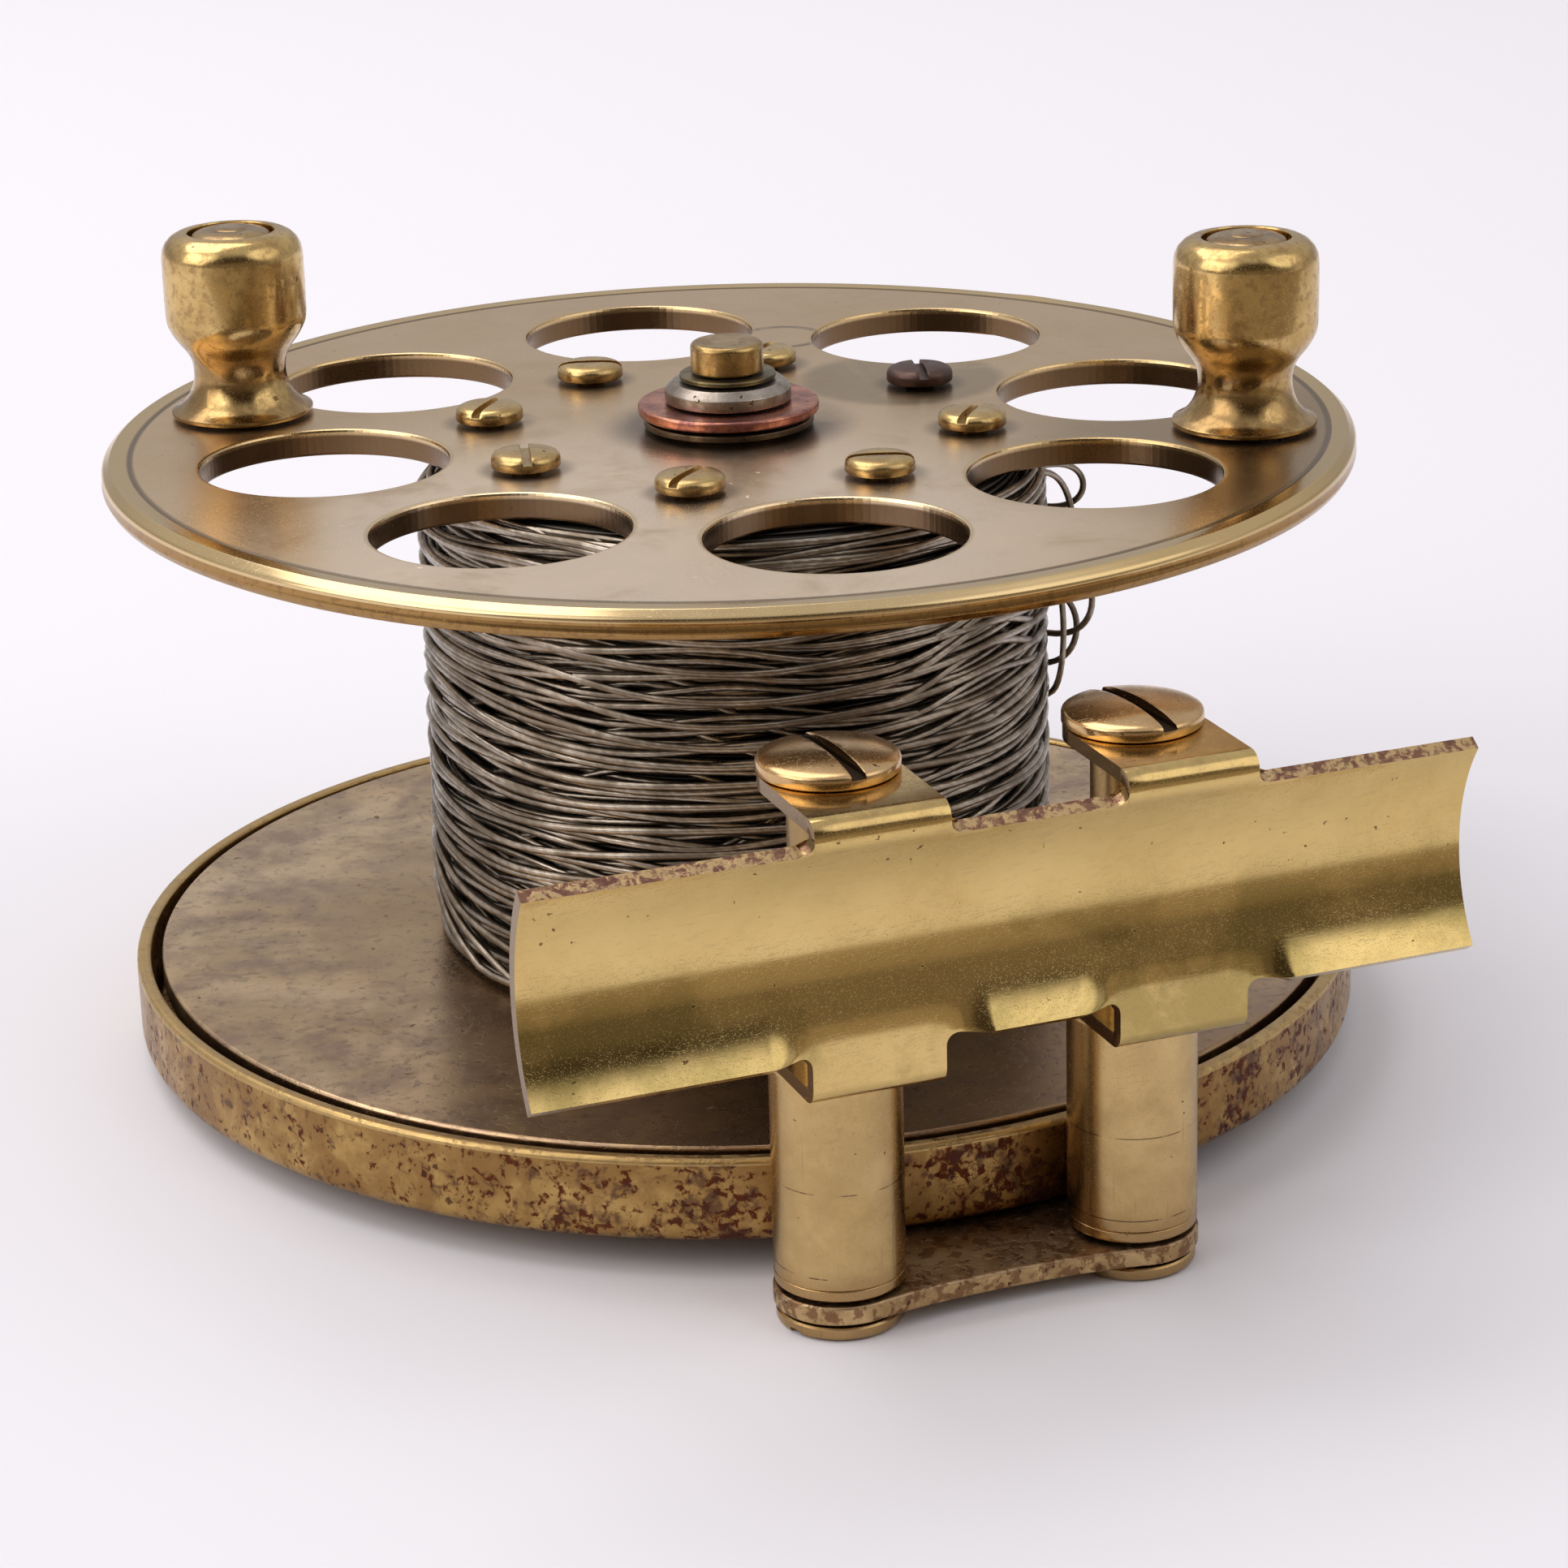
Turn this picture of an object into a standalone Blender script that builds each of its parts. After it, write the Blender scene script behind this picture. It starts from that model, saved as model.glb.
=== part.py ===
"""Wide-drum brass fly reel with a saddle foot, two turning handles and a sprung check.

The frame is in metres with +Z up.  The origin is the centre of the back pan's rear face, +Z runs along
the spindle towards the handles, the rod foot is on the -Y side, and the rod lies along X.
"""
import bpy
import bmesh
from math import asin, cos, pi, radians, sin
from mathutils import Matrix, Vector

MM = 0.001

# Driving dimensions
GAP = 0.3 * MM                       # between pieces that touch, and in running fits

FLANGE_R = 51.3 * MM                 # front flange, a nominal four inches across
FLANGE_TOP = 49.6 * MM
FLANGE_THICKNESS = 2.2 * MM
WINDOW_COUNT = 8
WINDOW_R = 10.05 * MM
WINDOW_PITCH_R = 33.6 * MM
WINDOW_ANGLE = radians(-96.8)        # the first window's place round the flange
SCREW_PITCH_R = 20.1 * MM

PAN_R = 51.6 * MM
PAN_HEIGHT = 6.9 * MM
PAN_WALL = 1.2 * MM
REAR_FLANGE_R = 49.5 * MM
REAR_FLANGE_BOTTOM = 5.0 * MM
REAR_FLANGE_TOP = 7.0 * MM

DRUM_R = 22.4 * MM
DRUM_WALL = 1.6 * MM
DRUM_RING_R = 16.6 * MM              # bore of the drum's thick ends
DRUM_RING_HEIGHT = 6.0 * MM
LINE_R = 26.0 * MM

SPINDLE_R = 2.6 * MM
HUB_R = 7.0 * MM
HUB_TOP = FLANGE_TOP + 0.9 * MM

FOOT_OFFSET = -2.0 * MM              # the foot's middle along the rod, from the spindle
PILLAR_SPACING = 23.8 * MM
PILLAR_Y = -55.9 * MM
PILLAR_R = 4.9 * MM
STEM_R = 3.1 * MM
BRACKET_THICKNESS = 1.5 * MM

SADDLE_LENGTH = 73.0 * MM
SADDLE_CENTRE = -3.6 * MM
SADDLE_BOTTOM = 21.8 * MM
SADDLE_TOP = 37.2 * MM
SADDLE_FACE_Y = -63.4 * MM           # deepest line of the trough's front face
TROUGH_R = 13.5 * MM
SHEET = 1.1 * MM
EAR_WIDTH = 10.2 * MM
EAR_BEND_R = 1.3 * MM                # the fold over the stem
EAR_EASE_R = 1.7 * MM                # where an upper ear leaves the trough
EAR_PULL = 3.4 * MM                  # how far each side of a lower ear the trough is drawn flat
LOWER_EAR_BOTTOM = 17.8 * MM
UPPER_EAR_TOP = 39.6 * MM
FOOT_SCREW_R = 5.2 * MM
THREAD_R = 1.7 * MM

HANDLE_PLACES = {"left": (41.6 * MM, radians(148.4)), "right": (42.2 * MM, radians(-27.3))}
HANDLE_HEIGHT = 15.7 * MM
HANDLE_PIN_R = 1.5 * MM
PIN_HEAD_R = 3.3 * MM
PIN_DOME = 0.5 * MM

WHEEL_TEETH = 24
WHEEL_TIP_R = 9.6 * MM
WHEEL_ROOT_R = 8.5 * MM
WHEEL_BOTTOM = 3.0 * MM
WHEEL_TOP = 4.7 * MM
NOSE_ANGLE = radians(45)             # where the pawl's nose rests in a tooth gap
NOSE_R = 8.85 * MM
PAWL_BOSS_R = 2.6 * MM
PAWL_PIVOT_R = 1.2 * MM
SPRING_POST_R = 1.3 * MM

SMALL_STEPS = 20
LARGE_STEPS = 72


def start_clean():
    """Remove whatever the scene holds and make the two collections."""
    for obj in list(bpy.data.objects):
        bpy.data.objects.remove(obj, do_unlink=True)
    parts = bpy.data.collections.new("fly_reel")
    cutters = bpy.data.collections.new("cutters")
    bpy.context.scene.collection.children.link(parts)
    bpy.context.scene.collection.children.link(cutters)
    return parts, cutters


PARTS, CUTTERS = start_clean()


def material(name, colour, roughness, metallic=1.0):
    """One Principled material."""
    mat = bpy.data.materials.new(name)
    mat.use_nodes = True
    shader = mat.node_tree.nodes["Principled BSDF"]
    shader.inputs["Base Color"].default_value = (*colour, 1.0)
    shader.inputs["Roughness"].default_value = roughness
    shader.inputs["Metallic"].default_value = metallic
    return mat


BRASS = (0.62, 0.44, 0.20)
PALE_BRASS = (0.60, 0.47, 0.32)
STEEL = (0.42, 0.41, 0.39)


def finish(obj, colour, roughness=0.3):
    """Give a part its own material and shade its round faces smooth."""
    obj.data.materials.clear()
    obj.data.materials.append(material(obj.name + "_finish", colour, roughness))
    obj.data.shade_smooth()
    obj.data.set_sharp_from_angle(angle=radians(35))
    return obj


def turned(name, profile, steps=SMALL_STEPS, place=(0.0, 0.0), collection=None):
    """Turn a closed outline of (radius, height) points about a vertical axis at place.

    The outline runs down its outer side, and up its inner side or along the axis.
    """
    mesh = bpy.data.meshes.new(name)
    points = [(radius, 0.0, height) for radius, height in profile]
    on_axis = profile[0][0] == 0.0 and profile[-1][0] == 0.0
    count = len(points)
    edges = [(i, i + 1) for i in range(count - 1)]
    if not on_axis:
        edges.append((count - 1, 0))
    mesh.from_pydata(points, edges, [])
    obj = bpy.data.objects.new(name, mesh)
    (collection or PARTS).objects.link(obj)
    obj.location = (place[0], place[1], 0.0)
    screw = obj.modifiers.new("turn", "SCREW")
    screw.axis = "Z"
    screw.steps = steps
    screw.render_steps = steps
    screw.use_merge_vertices = True
    screw.merge_threshold = 0.00001
    return obj


def disc_profile(radius, bottom, top):
    """Outline of a plain solid disc or rod."""
    return [(0.0, top), (radius, top), (radius, bottom), (0.0, bottom)]


def ring_profile(inner, outer, bottom, top):
    """Outline of a plain ring or tube."""
    return [(outer, top), (outer, bottom), (inner, bottom), (inner, top)]


def circle_points(centre, radius, steps, start=0.0):
    """Points round a circle."""
    points = []
    for i in range(steps):
        angle = start + 2 * pi * i / steps
        points.append((centre[0] + radius * cos(angle), centre[1] + radius * sin(angle)))
    return points


def arc_points(centre, radius, start, end, steps):
    """Points along an arc, both ends included."""
    points = []
    for i in range(steps + 1):
        angle = start + (end - start) * i / steps
        points.append((centre[0] + radius * cos(angle), centre[1] + radius * sin(angle)))
    return points


def polar(radius, angle):
    """A point at an angle round the spindle."""
    return (radius * cos(angle), radius * sin(angle))


def flat_plate(name, outlines, bottom, top):
    """A plate from a closed outline and the outlines of its holes, as one welded mesh."""
    curve = bpy.data.curves.new(name, "CURVE")
    curve.dimensions = "2D"
    curve.fill_mode = "BOTH"
    curve.extrude = (top - bottom) / 2
    for outline in outlines:
        spline = curve.splines.new("POLY")
        spline.points.add(len(outline) - 1)
        for point, (x, y) in zip(spline.points, outline):
            point.co = (x, y, 0.0, 1.0)
        spline.use_cyclic_u = True
    shape = bpy.data.objects.new(name + "_outline", curve)
    CUTTERS.objects.link(shape)
    shape.location.z = (top + bottom) / 2
    bpy.context.view_layer.update()
    evaluated = shape.evaluated_get(bpy.context.evaluated_depsgraph_get())
    mesh = bpy.data.meshes.new_from_object(evaluated)
    place = shape.matrix_world.copy()
    bpy.data.objects.remove(shape, do_unlink=True)
    work = bmesh.new()
    work.from_mesh(mesh)
    bmesh.ops.remove_doubles(work, verts=work.verts, dist=0.000001)
    bmesh.ops.recalc_face_normals(work, faces=work.faces)
    work.to_mesh(mesh)
    work.free()
    mesh.name = name
    obj = bpy.data.objects.new(name, mesh)
    obj.matrix_world = place
    PARTS.objects.link(obj)
    return obj


def box_cutter(name, size, centre, turn=0.0):
    """A hidden box for cutting slots."""
    mesh = bpy.data.meshes.new(name)
    work = bmesh.new()
    bmesh.ops.create_cube(work, size=1.0)
    bmesh.ops.scale(work, vec=Vector(size), verts=work.verts)
    work.to_mesh(mesh)
    work.free()
    obj = bpy.data.objects.new(name, mesh)
    obj.matrix_world = Matrix.Translation(Vector(centre)) @ Matrix.Rotation(turn, 4, "Z")
    return hide_cutter(obj)


def hide_cutter(obj):
    """Keep a cutter out of the part."""
    if obj.name not in CUTTERS.objects:
        CUTTERS.objects.link(obj)
    obj.display_type = "WIRE"
    obj.hide_render = True
    return obj


def cut(obj, cutter):
    """Cut one shape out of another with the exact solver."""
    boolean = obj.modifiers.new("cut_" + cutter.name, "BOOLEAN")
    boolean.operation = "DIFFERENCE"
    boolean.solver = "EXACT"
    boolean.object = cutter


def round_hole(obj, name, place, radius, bottom, top, steps=SMALL_STEPS):
    """Cut a vertical round hole."""
    cutter = turned(name, disc_profile(radius, bottom, top), steps, place, CUTTERS)
    cut(obj, hide_cutter(cutter))


def slotted_screw(name, place, seat, head, shank, slot, colour=BRASS):
    """A screw standing on its seat: a low rounded head with a slot, and a plain shank.

    head is (radius, thickness, edge rounding, dome), shank is (radius, length), slot is (width, depth, turn).
    """
    radius, thickness, rounding, dome = head
    shank_r, length = shank
    crown = seat + thickness + dome
    edge = seat + thickness
    profile = [(0.0, crown), (radius * 0.6, crown - dome * 0.36), (radius - rounding, edge)]
    profile += [(radius, edge - rounding), (radius, seat), (shank_r, seat), (shank_r, seat - length)]
    profile += [(0.0, seat - length)]
    screw = turned(name, profile, SMALL_STEPS, place)
    width, depth, turn = slot
    size = (radius * 3, width, depth * 2)
    cut(screw, box_cutter(name + "_slot", size, (place[0], place[1], crown), turn))
    return finish(screw, colour)


# ---------------------------------------------------------------- back pan, bracket and pillars
PILLARS = {
    "left": (FOOT_OFFSET - PILLAR_SPACING / 2, PILLAR_Y),
    "right": (FOOT_OFFSET + PILLAR_SPACING / 2, PILLAR_Y),
}
RIVETS = [(-9.0 * MM, -41.0 * MM), (5.0 * MM, -41.0 * MM), (-2.0 * MM, -32.0 * MM)]
RIVET_R = 1.3 * MM
RIVET_HEAD_R = 2.6 * MM
BRACKET_TOP = -GAP
BRACKET_BOTTOM = BRACKET_TOP - BRACKET_THICKNESS


def make_back_pan():
    """The spun pan: a thin floor, an upright rim and holes for the spindle and rivets."""
    inner = PAN_R - PAN_WALL
    lip = 0.35 * MM
    profile = [(PAN_R - lip, PAN_HEIGHT), (PAN_R, PAN_HEIGHT - lip), (PAN_R, 0.8 * MM)]
    profile += [(PAN_R - 0.8 * MM, 0.0), (SPINDLE_R + GAP, 0.0), (SPINDLE_R + GAP, PAN_WALL)]
    profile += [(inner, PAN_WALL), (inner, PAN_HEIGHT)]
    pan = turned("back_pan", profile, LARGE_STEPS)
    for index, place in enumerate(RIVETS, 1):
        round_hole(pan, f"pan_rivet_hole_{index}", place, RIVET_R + GAP, -MM, 3 * MM, 12)
    return finish(pan, BRASS, 0.35)


def make_bracket():
    """The waisted plate under the pan, with round ends at the pillars and a tongue to the rivets."""
    left = PILLARS["left"]
    right = PILLARS["right"]
    end_r = PILLAR_R + 0.1 * MM
    waist_y = PILLAR_Y - 3.9 * MM
    outline = arc_points(left, end_r, radians(115), radians(288), 14)
    outline += [(left[0] + 6.0 * MM, waist_y - 0.2 * MM), (FOOT_OFFSET, waist_y)]
    outline += [(right[0] - 6.0 * MM, waist_y - 0.2 * MM)]
    outline += arc_points(right, end_r, radians(-108), radians(65), 14)
    outline += arc_points((5.0 * MM, -41.0 * MM), 5.5 * MM, radians(0), radians(50), 3)
    outline += arc_points((FOOT_OFFSET, -32.0 * MM), 5.5 * MM, radians(40), radians(140), 6)
    outline += arc_points((-9.0 * MM, -41.0 * MM), 5.5 * MM, radians(130), radians(180), 3)
    holes = [circle_points(place, THREAD_R + GAP, 16) for place in PILLARS.values()]
    holes += [circle_points(place, RIVET_R + GAP, 12) for place in RIVETS]
    plate = flat_plate("foot_bracket", [outline] + holes, BRACKET_BOTTOM, BRACKET_TOP)
    return finish(plate, BRASS, 0.4)


def make_rivets():
    """Round-head rivets from under the bracket, closed over inside the pan."""
    seat = BRACKET_BOTTOM - GAP
    inside = PAN_WALL + GAP
    for index, place in enumerate(RIVETS, 1):
        profile = [(0.0, inside + 0.7 * MM), (1.6 * MM, inside + 0.6 * MM), (2.2 * MM, inside)]
        profile += [(RIVET_R, inside), (RIVET_R, seat), (RIVET_HEAD_R, seat)]
        profile += [(1.9 * MM, seat - 0.7 * MM), (0.0, seat - 0.9 * MM)]
        finish(turned(f"bracket_rivet_{index}", profile, 16, place), BRASS)


def make_pillars():
    """Turned pillars, each with a shoulder for the lower ear and a thinner stem above it."""
    shoulder = LOWER_EAR_BOTTOM - GAP
    top = UPPER_EAR_TOP - SHEET - GAP
    bore = THREAD_R + GAP
    for side, place in PILLARS.items():
        profile = [(STEM_R, top), (STEM_R, shoulder), (PILLAR_R, shoulder), (PILLAR_R, 0.3 * MM)]
        profile += [(PILLAR_R - 0.3 * MM, 0.0), (bore, 0.0), (bore, 9.0 * MM), (0.0, 9.6 * MM)]
        pillar = turned(f"pillar_{side}", [(0.0, top)] + profile, 24, place)
        round_hole(pillar, f"stem_bore_{side}", place, bore, top - 8 * MM, top + MM, 16)
        finish(pillar, BRASS, 0.28)


def make_frame_screws():
    """Slotted screws under the bracket and over the upper ears."""
    for side, place in PILLARS.items():
        seat = BRACKET_BOTTOM - GAP
        bottom = seat - 1.1 * MM
        profile = [(0.0, 8.4 * MM), (THREAD_R, 8.4 * MM), (THREAD_R, seat), (PILLAR_R - 0.1 * MM, seat)]
        profile += [(PILLAR_R - 0.1 * MM, bottom + 0.4 * MM), (PILLAR_R - 0.7 * MM, bottom)]
        profile += [(0.0, bottom)]
        screw = turned(f"pillar_screw_{side}", profile, 24, place)
        cutter = box_cutter(f"pillar_slot_{side}", (20 * MM, 1.0 * MM, 1.0 * MM), (*place, bottom), 0.4)
        cut(screw, cutter)
        finish(screw, BRASS, 0.3)
        head = (FOOT_SCREW_R, 1.0 * MM, 0.25 * MM, 0.5 * MM)
        shank = (THREAD_R, 7.0 * MM)
        turn = radians(-87 if side == "left" else -84)
        slotted_screw(f"foot_screw_{side}", place, UPPER_EAR_TOP + GAP, head, shank,
                      (1.1 * MM, 0.8 * MM, turn))


# ---------------------------------------------------------------- saddle foot
def trough_line(pull):
    """The trough's front face from its lower edge to its upper one, as (y, z) points.

    Where pull is 1 the lowest part is drawn flat and upright, ready to run down into an ear.
    """
    middle_z = (SADDLE_TOP + SADDLE_BOTTOM) / 2
    centre_y = SADDLE_FACE_Y - TROUGH_R
    half = trough_lean()
    flat = asin(0.9 * MM / TROUGH_R)
    start = radians(18)
    angles = [-half + (half - start) * i / 4 for i in range(5)] + [-(start + flat) / 2, -flat]
    angles += [flat + (half - flat) * i / 6 for i in range(7)]
    line = []
    for angle in angles:
        y = centre_y + TROUGH_R * cos(angle)
        z = middle_z + TROUGH_R * sin(angle)
        if angle < -start:
            y += pull * (drawn_flat(z) - y)
        line.append((y, z))
    return line


def trough_lean():
    """How far the trough's two edges lean outwards."""
    return asin((SADDLE_TOP - SADDLE_BOTTOM) / 2 / TROUGH_R)


def drawn_flat(z):
    """The front face's y at a height on the flattened part above a lower ear."""
    start = radians(18)
    top_z = (SADDLE_TOP + SADDLE_BOTTOM) / 2 - TROUGH_R * sin(start)
    top_y = SADDLE_FACE_Y - TROUGH_R + TROUGH_R * cos(start)
    run = top_z - SADDLE_BOTTOM
    share = (top_z - z) / run
    slope = run * sin(start) / cos(start)
    out = (share ** 3 - 2 * share ** 2 + share) * slope + (3 * share ** 2 - 2 * share ** 3) * 0.55 * MM
    return top_y - out


def pull_at(x):
    """How much the trough is drawn flat at a place along it."""
    pull = 0.0
    for place in PILLARS.values():
        share = (EAR_WIDTH / 2 + EAR_PULL - abs(x - place[0])) / EAR_PULL
        share = min(max(share, 0.0), 1.0)
        pull = max(pull, share * share * (3 - 2 * share))
    return pull


def ear_path(start, lean, way):
    """An ear's outer face from the trough's edge, upright, round its fold, and back over the stem.

    way is +1 for an upper ear and -1 for a lower one; lean is the outward lean it starts with.
    """
    level = UPPER_EAR_TOP if way > 0 else LOWER_EAR_BOTTOM
    path = []
    y, z = start
    if lean > 0.0:
        centre_y = y + EAR_EASE_R * cos(lean)
        centre_z = z + way * EAR_EASE_R * sin(lean)
        for i in range(1, 5):
            angle = lean * (1 - i / 4)
            path.append((centre_y - EAR_EASE_R * cos(angle), centre_z - way * EAR_EASE_R * sin(angle)))
        y = path[-1][0]
    for i in range(7):
        angle = pi / 2 * i / 6
        path.append((y + EAR_BEND_R * (1 - cos(angle)), level - way * EAR_BEND_R * (1 - sin(angle))))
    path.append((PILLAR_Y, level))
    return path


def make_saddle():
    """The rod seat: a pressed sheet trough whose four ears fold back over the pillar stems."""
    ends = (SADDLE_CENTRE - SADDLE_LENGTH / 2, SADDLE_CENTRE + SADDLE_LENGTH / 2)
    stops = set(ends)
    half = EAR_WIDTH / 2
    for place in PILLARS.values():
        for offset in (0.0, half / 2, half, half + EAR_PULL * 0.25, half + EAR_PULL * 0.5, half + EAR_PULL * 0.75,
                       half + EAR_PULL):
            stops.update((place[0] - offset, place[0] + offset))
    stops = sorted(stops)
    work = bmesh.new()
    grid = [[work.verts.new((x, y, z)) for y, z in trough_line(pull_at(x))] for x in stops]
    for first, second in zip(grid, grid[1:]):
        for i in range(len(first) - 1):
            work.faces.new((first[i], second[i], second[i + 1], first[i + 1]))
    for place in PILLARS.values():
        spots = [i for i, x in enumerate(stops) if abs(x - place[0]) <= half + 0.01 * MM]
        for way, row, lean in ((1, -1, trough_lean()), (-1, 0, 0.0)):
            edge = [grid[i][row] for i in spots]
            path = ear_path(edge[0].co.yz, lean, way)
            previous = edge
            for y, z in path:
                here = [work.verts.new((vertex.co.x, y, z)) for vertex in edge]
                for i in range(len(edge) - 1):
                    work.faces.new((previous[i], previous[i + 1], here[i + 1], here[i]))
                previous = here
            end = arc_points((place[0], PILLAR_Y), half, 0, pi, 12)[1:-1]
            tip = [work.verts.new((x, y, path[-1][1])) for x, y in end]
            work.faces.new(previous + tip)
    bmesh.ops.recalc_face_normals(work, faces=work.faces)
    front = min(work.faces, key=lambda face: abs(face.calc_center_median().z - 29.5 * MM))
    if front.normal.y > 0:
        bmesh.ops.reverse_faces(work, faces=work.faces)
    mesh = bpy.data.meshes.new("saddle_foot")
    work.to_mesh(mesh)
    work.free()
    saddle = bpy.data.objects.new("saddle_foot", mesh)
    PARTS.objects.link(saddle)
    wall = saddle.modifiers.new("sheet", "SOLIDIFY")
    wall.thickness = SHEET
    wall.offset = -1.0
    wall.use_even_offset = True
    for side, place in PILLARS.items():
        round_hole(saddle, f"lower_ear_hole_{side}", place, STEM_R + GAP,
                   LOWER_EAR_BOTTOM - MM, LOWER_EAR_BOTTOM + SHEET + MM, 24)
        round_hole(saddle, f"upper_ear_hole_{side}", place, THREAD_R + GAP,
                   UPPER_EAR_TOP - SHEET - MM, UPPER_EAR_TOP + MM, 16)
    return finish(saddle, BRASS, 0.22)


# ---------------------------------------------------------------- spindle and its stack
STACK = {
    "copper_washer": (HUB_TOP + GAP, 0.9 * MM, 7.45 * MM),
    "clamp_nut": (HUB_TOP + 1.4 * MM, 1.6 * MM, 5.2 * MM),
    "brass_washer": (HUB_TOP + 3.2 * MM, 0.4 * MM, 3.95 * MM),
    "end_cap": (HUB_TOP + 3.8 * MM, 2.4 * MM, 3.0 * MM),
}
SPINDLE_TIP_R = 1.9 * MM


def make_spindle():
    """The fixed steel shaft: riveted flush in the pan, with a collar inside and a thinner tip."""
    collar_bottom = PAN_WALL + GAP
    collar_top = collar_bottom + 1.1 * MM
    shoulder = STACK["copper_washer"][0] - 0.1 * MM
    tip = STACK["end_cap"][0] + 1.2 * MM
    profile = [(0.0, tip), (SPINDLE_TIP_R, tip), (SPINDLE_TIP_R, shoulder), (SPINDLE_R, shoulder)]
    profile += [(SPINDLE_R, collar_top), (6.0 * MM, collar_top), (6.0 * MM, collar_bottom)]
    profile += [(SPINDLE_R, collar_bottom), (SPINDLE_R, 0.0), (0.0, 0.0)]
    return finish(turned("spindle", profile, 24), STEEL, 0.3)


def make_stack():
    """Copper washer, round nut, thin washer and cap nut on the spindle's tip."""
    bore = SPINDLE_TIP_R + GAP
    bottom, height, radius = STACK["copper_washer"]
    washer = turned("copper_washer", ring_profile(bore, radius, bottom, bottom + height), 32)
    finish(washer, (0.60, 0.25, 0.16), 0.35)
    bottom, height, radius = STACK["clamp_nut"]
    chamfer = 0.6 * MM
    profile = [(radius - chamfer, bottom + height), (radius, bottom + height - chamfer)]
    profile += [(radius, bottom), (bore, bottom), (bore, bottom + height)]
    finish(turned("clamp_nut", profile, 32), (0.45, 0.43, 0.40), 0.35)
    bottom, height, radius = STACK["brass_washer"]
    washer = turned("brass_washer", ring_profile(bore, radius, bottom, bottom + height), 24)
    finish(washer, (0.22, 0.17, 0.09), 0.4)
    bottom, height, radius = STACK["end_cap"]
    top = bottom + height
    profile = [(0.0, top), (radius - 0.5 * MM, top), (radius, top - 0.5 * MM), (radius, bottom)]
    profile += [(bore, bottom), (bore, bottom + 1.5 * MM), (0.0, bottom + 1.6 * MM)]
    finish(turned("end_cap", profile, 24), BRASS, 0.25)


# ---------------------------------------------------------------- spool
def make_front_flange():
    """The faceplate, with its windows, screw holes, pin holes and hub hole."""
    bottom = FLANGE_TOP - FLANGE_THICKNESS
    holes = [circle_points((0.0, 0.0), HUB_R - 1.2 * MM + GAP, 32)]
    for i in range(WINDOW_COUNT):
        angle = WINDOW_ANGLE + i * 2 * pi / WINDOW_COUNT
        holes.append(circle_points(polar(WINDOW_PITCH_R, angle), WINDOW_R, 32))
        between = angle + pi / WINDOW_COUNT
        holes.append(circle_points(polar(SCREW_PITCH_R, between), 1.2 * MM + GAP, 12))
    for reach, angle in HANDLE_PLACES.values():
        holes.append(circle_points(polar(reach, angle), HANDLE_PIN_R + GAP, 16))
    rim = circle_points((0.0, 0.0), FLANGE_R, 96)
    flange = flat_plate("front_flange", [rim] + holes, bottom, FLANGE_TOP)
    return finish(flange, PALE_BRASS, 0.35)


def make_rear_flange():
    """The spool's plain back disc."""
    profile = ring_profile(HUB_R - 1.2 * MM + GAP, REAR_FLANGE_R, REAR_FLANGE_BOTTOM, REAR_FLANGE_TOP)
    return finish(turned("rear_flange", profile, LARGE_STEPS), PALE_BRASS, 0.4)


def make_drum():
    """The arbor tube with a thick ring at each end, the front one drilled for the face screws."""
    bottom = REAR_FLANGE_TOP + GAP
    top = FLANGE_TOP - FLANGE_THICKNESS - GAP
    inner = DRUM_R - DRUM_WALL
    profile = [(DRUM_R, top), (DRUM_R, bottom), (DRUM_RING_R, bottom)]
    profile += [(DRUM_RING_R, bottom + DRUM_RING_HEIGHT), (inner, bottom + DRUM_RING_HEIGHT + 3 * MM)]
    profile += [(inner, top - DRUM_RING_HEIGHT - 3 * MM), (DRUM_RING_R, top - DRUM_RING_HEIGHT)]
    profile += [(DRUM_RING_R, top)]
    drum = turned("drum_barrel", profile, 48)
    for i in range(WINDOW_COUNT):
        angle = WINDOW_ANGLE + (i + 0.5) * 2 * pi / WINDOW_COUNT
        place = polar(SCREW_PITCH_R, angle)
        round_hole(drum, f"drum_screw_hole_{i + 1}", place, 1.5 * MM, top - 5 * MM, top + MM, 12)
    return finish(drum, BRASS, 0.4)


def make_hub_tube():
    """The bearing tube through the spool, with a collar above the front flange."""
    bore = SPINDLE_R + GAP
    body = HUB_R - 1.2 * MM
    seat = FLANGE_TOP + GAP
    profile = [(HUB_R, HUB_TOP), (HUB_R, seat), (body, seat), (body, WHEEL_TOP + GAP)]
    profile += [(bore, WHEEL_TOP + GAP), (bore, HUB_TOP)]
    return finish(turned("hub_tube", profile, 32), (0.16, 0.11, 0.07), 0.4)


def make_face_screws():
    """Eight slotted screws, each with its slot where the last turn left it."""
    turns = [160, 48, 75, 40, 160, 48, 75, 40]
    for i in range(WINDOW_COUNT):
        angle = WINDOW_ANGLE + (i + 0.5) * 2 * pi / WINDOW_COUNT
        place = polar(SCREW_PITCH_R, angle)
        head = (2.8 * MM, 1.2 * MM, 0.4 * MM, 0.15 * MM)
        slot = (0.7 * MM, 0.6 * MM, radians(turns[i]))
        slotted_screw(f"face_screw_{i + 1}", place, FLANGE_TOP + GAP, head, (1.2 * MM, 6.0 * MM), slot)


def make_line():
    """The wound wire line as one plain barrel on the drum."""
    bottom = REAR_FLANGE_TOP + GAP
    top = FLANGE_TOP - FLANGE_THICKNESS - GAP
    inner = DRUM_R + GAP
    profile = [(LINE_R, top), (LINE_R, bottom), (inner, bottom), (inner, top)]
    return finish(turned("wire_line", profile, 48), (0.20, 0.19, 0.17), 0.5)


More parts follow.
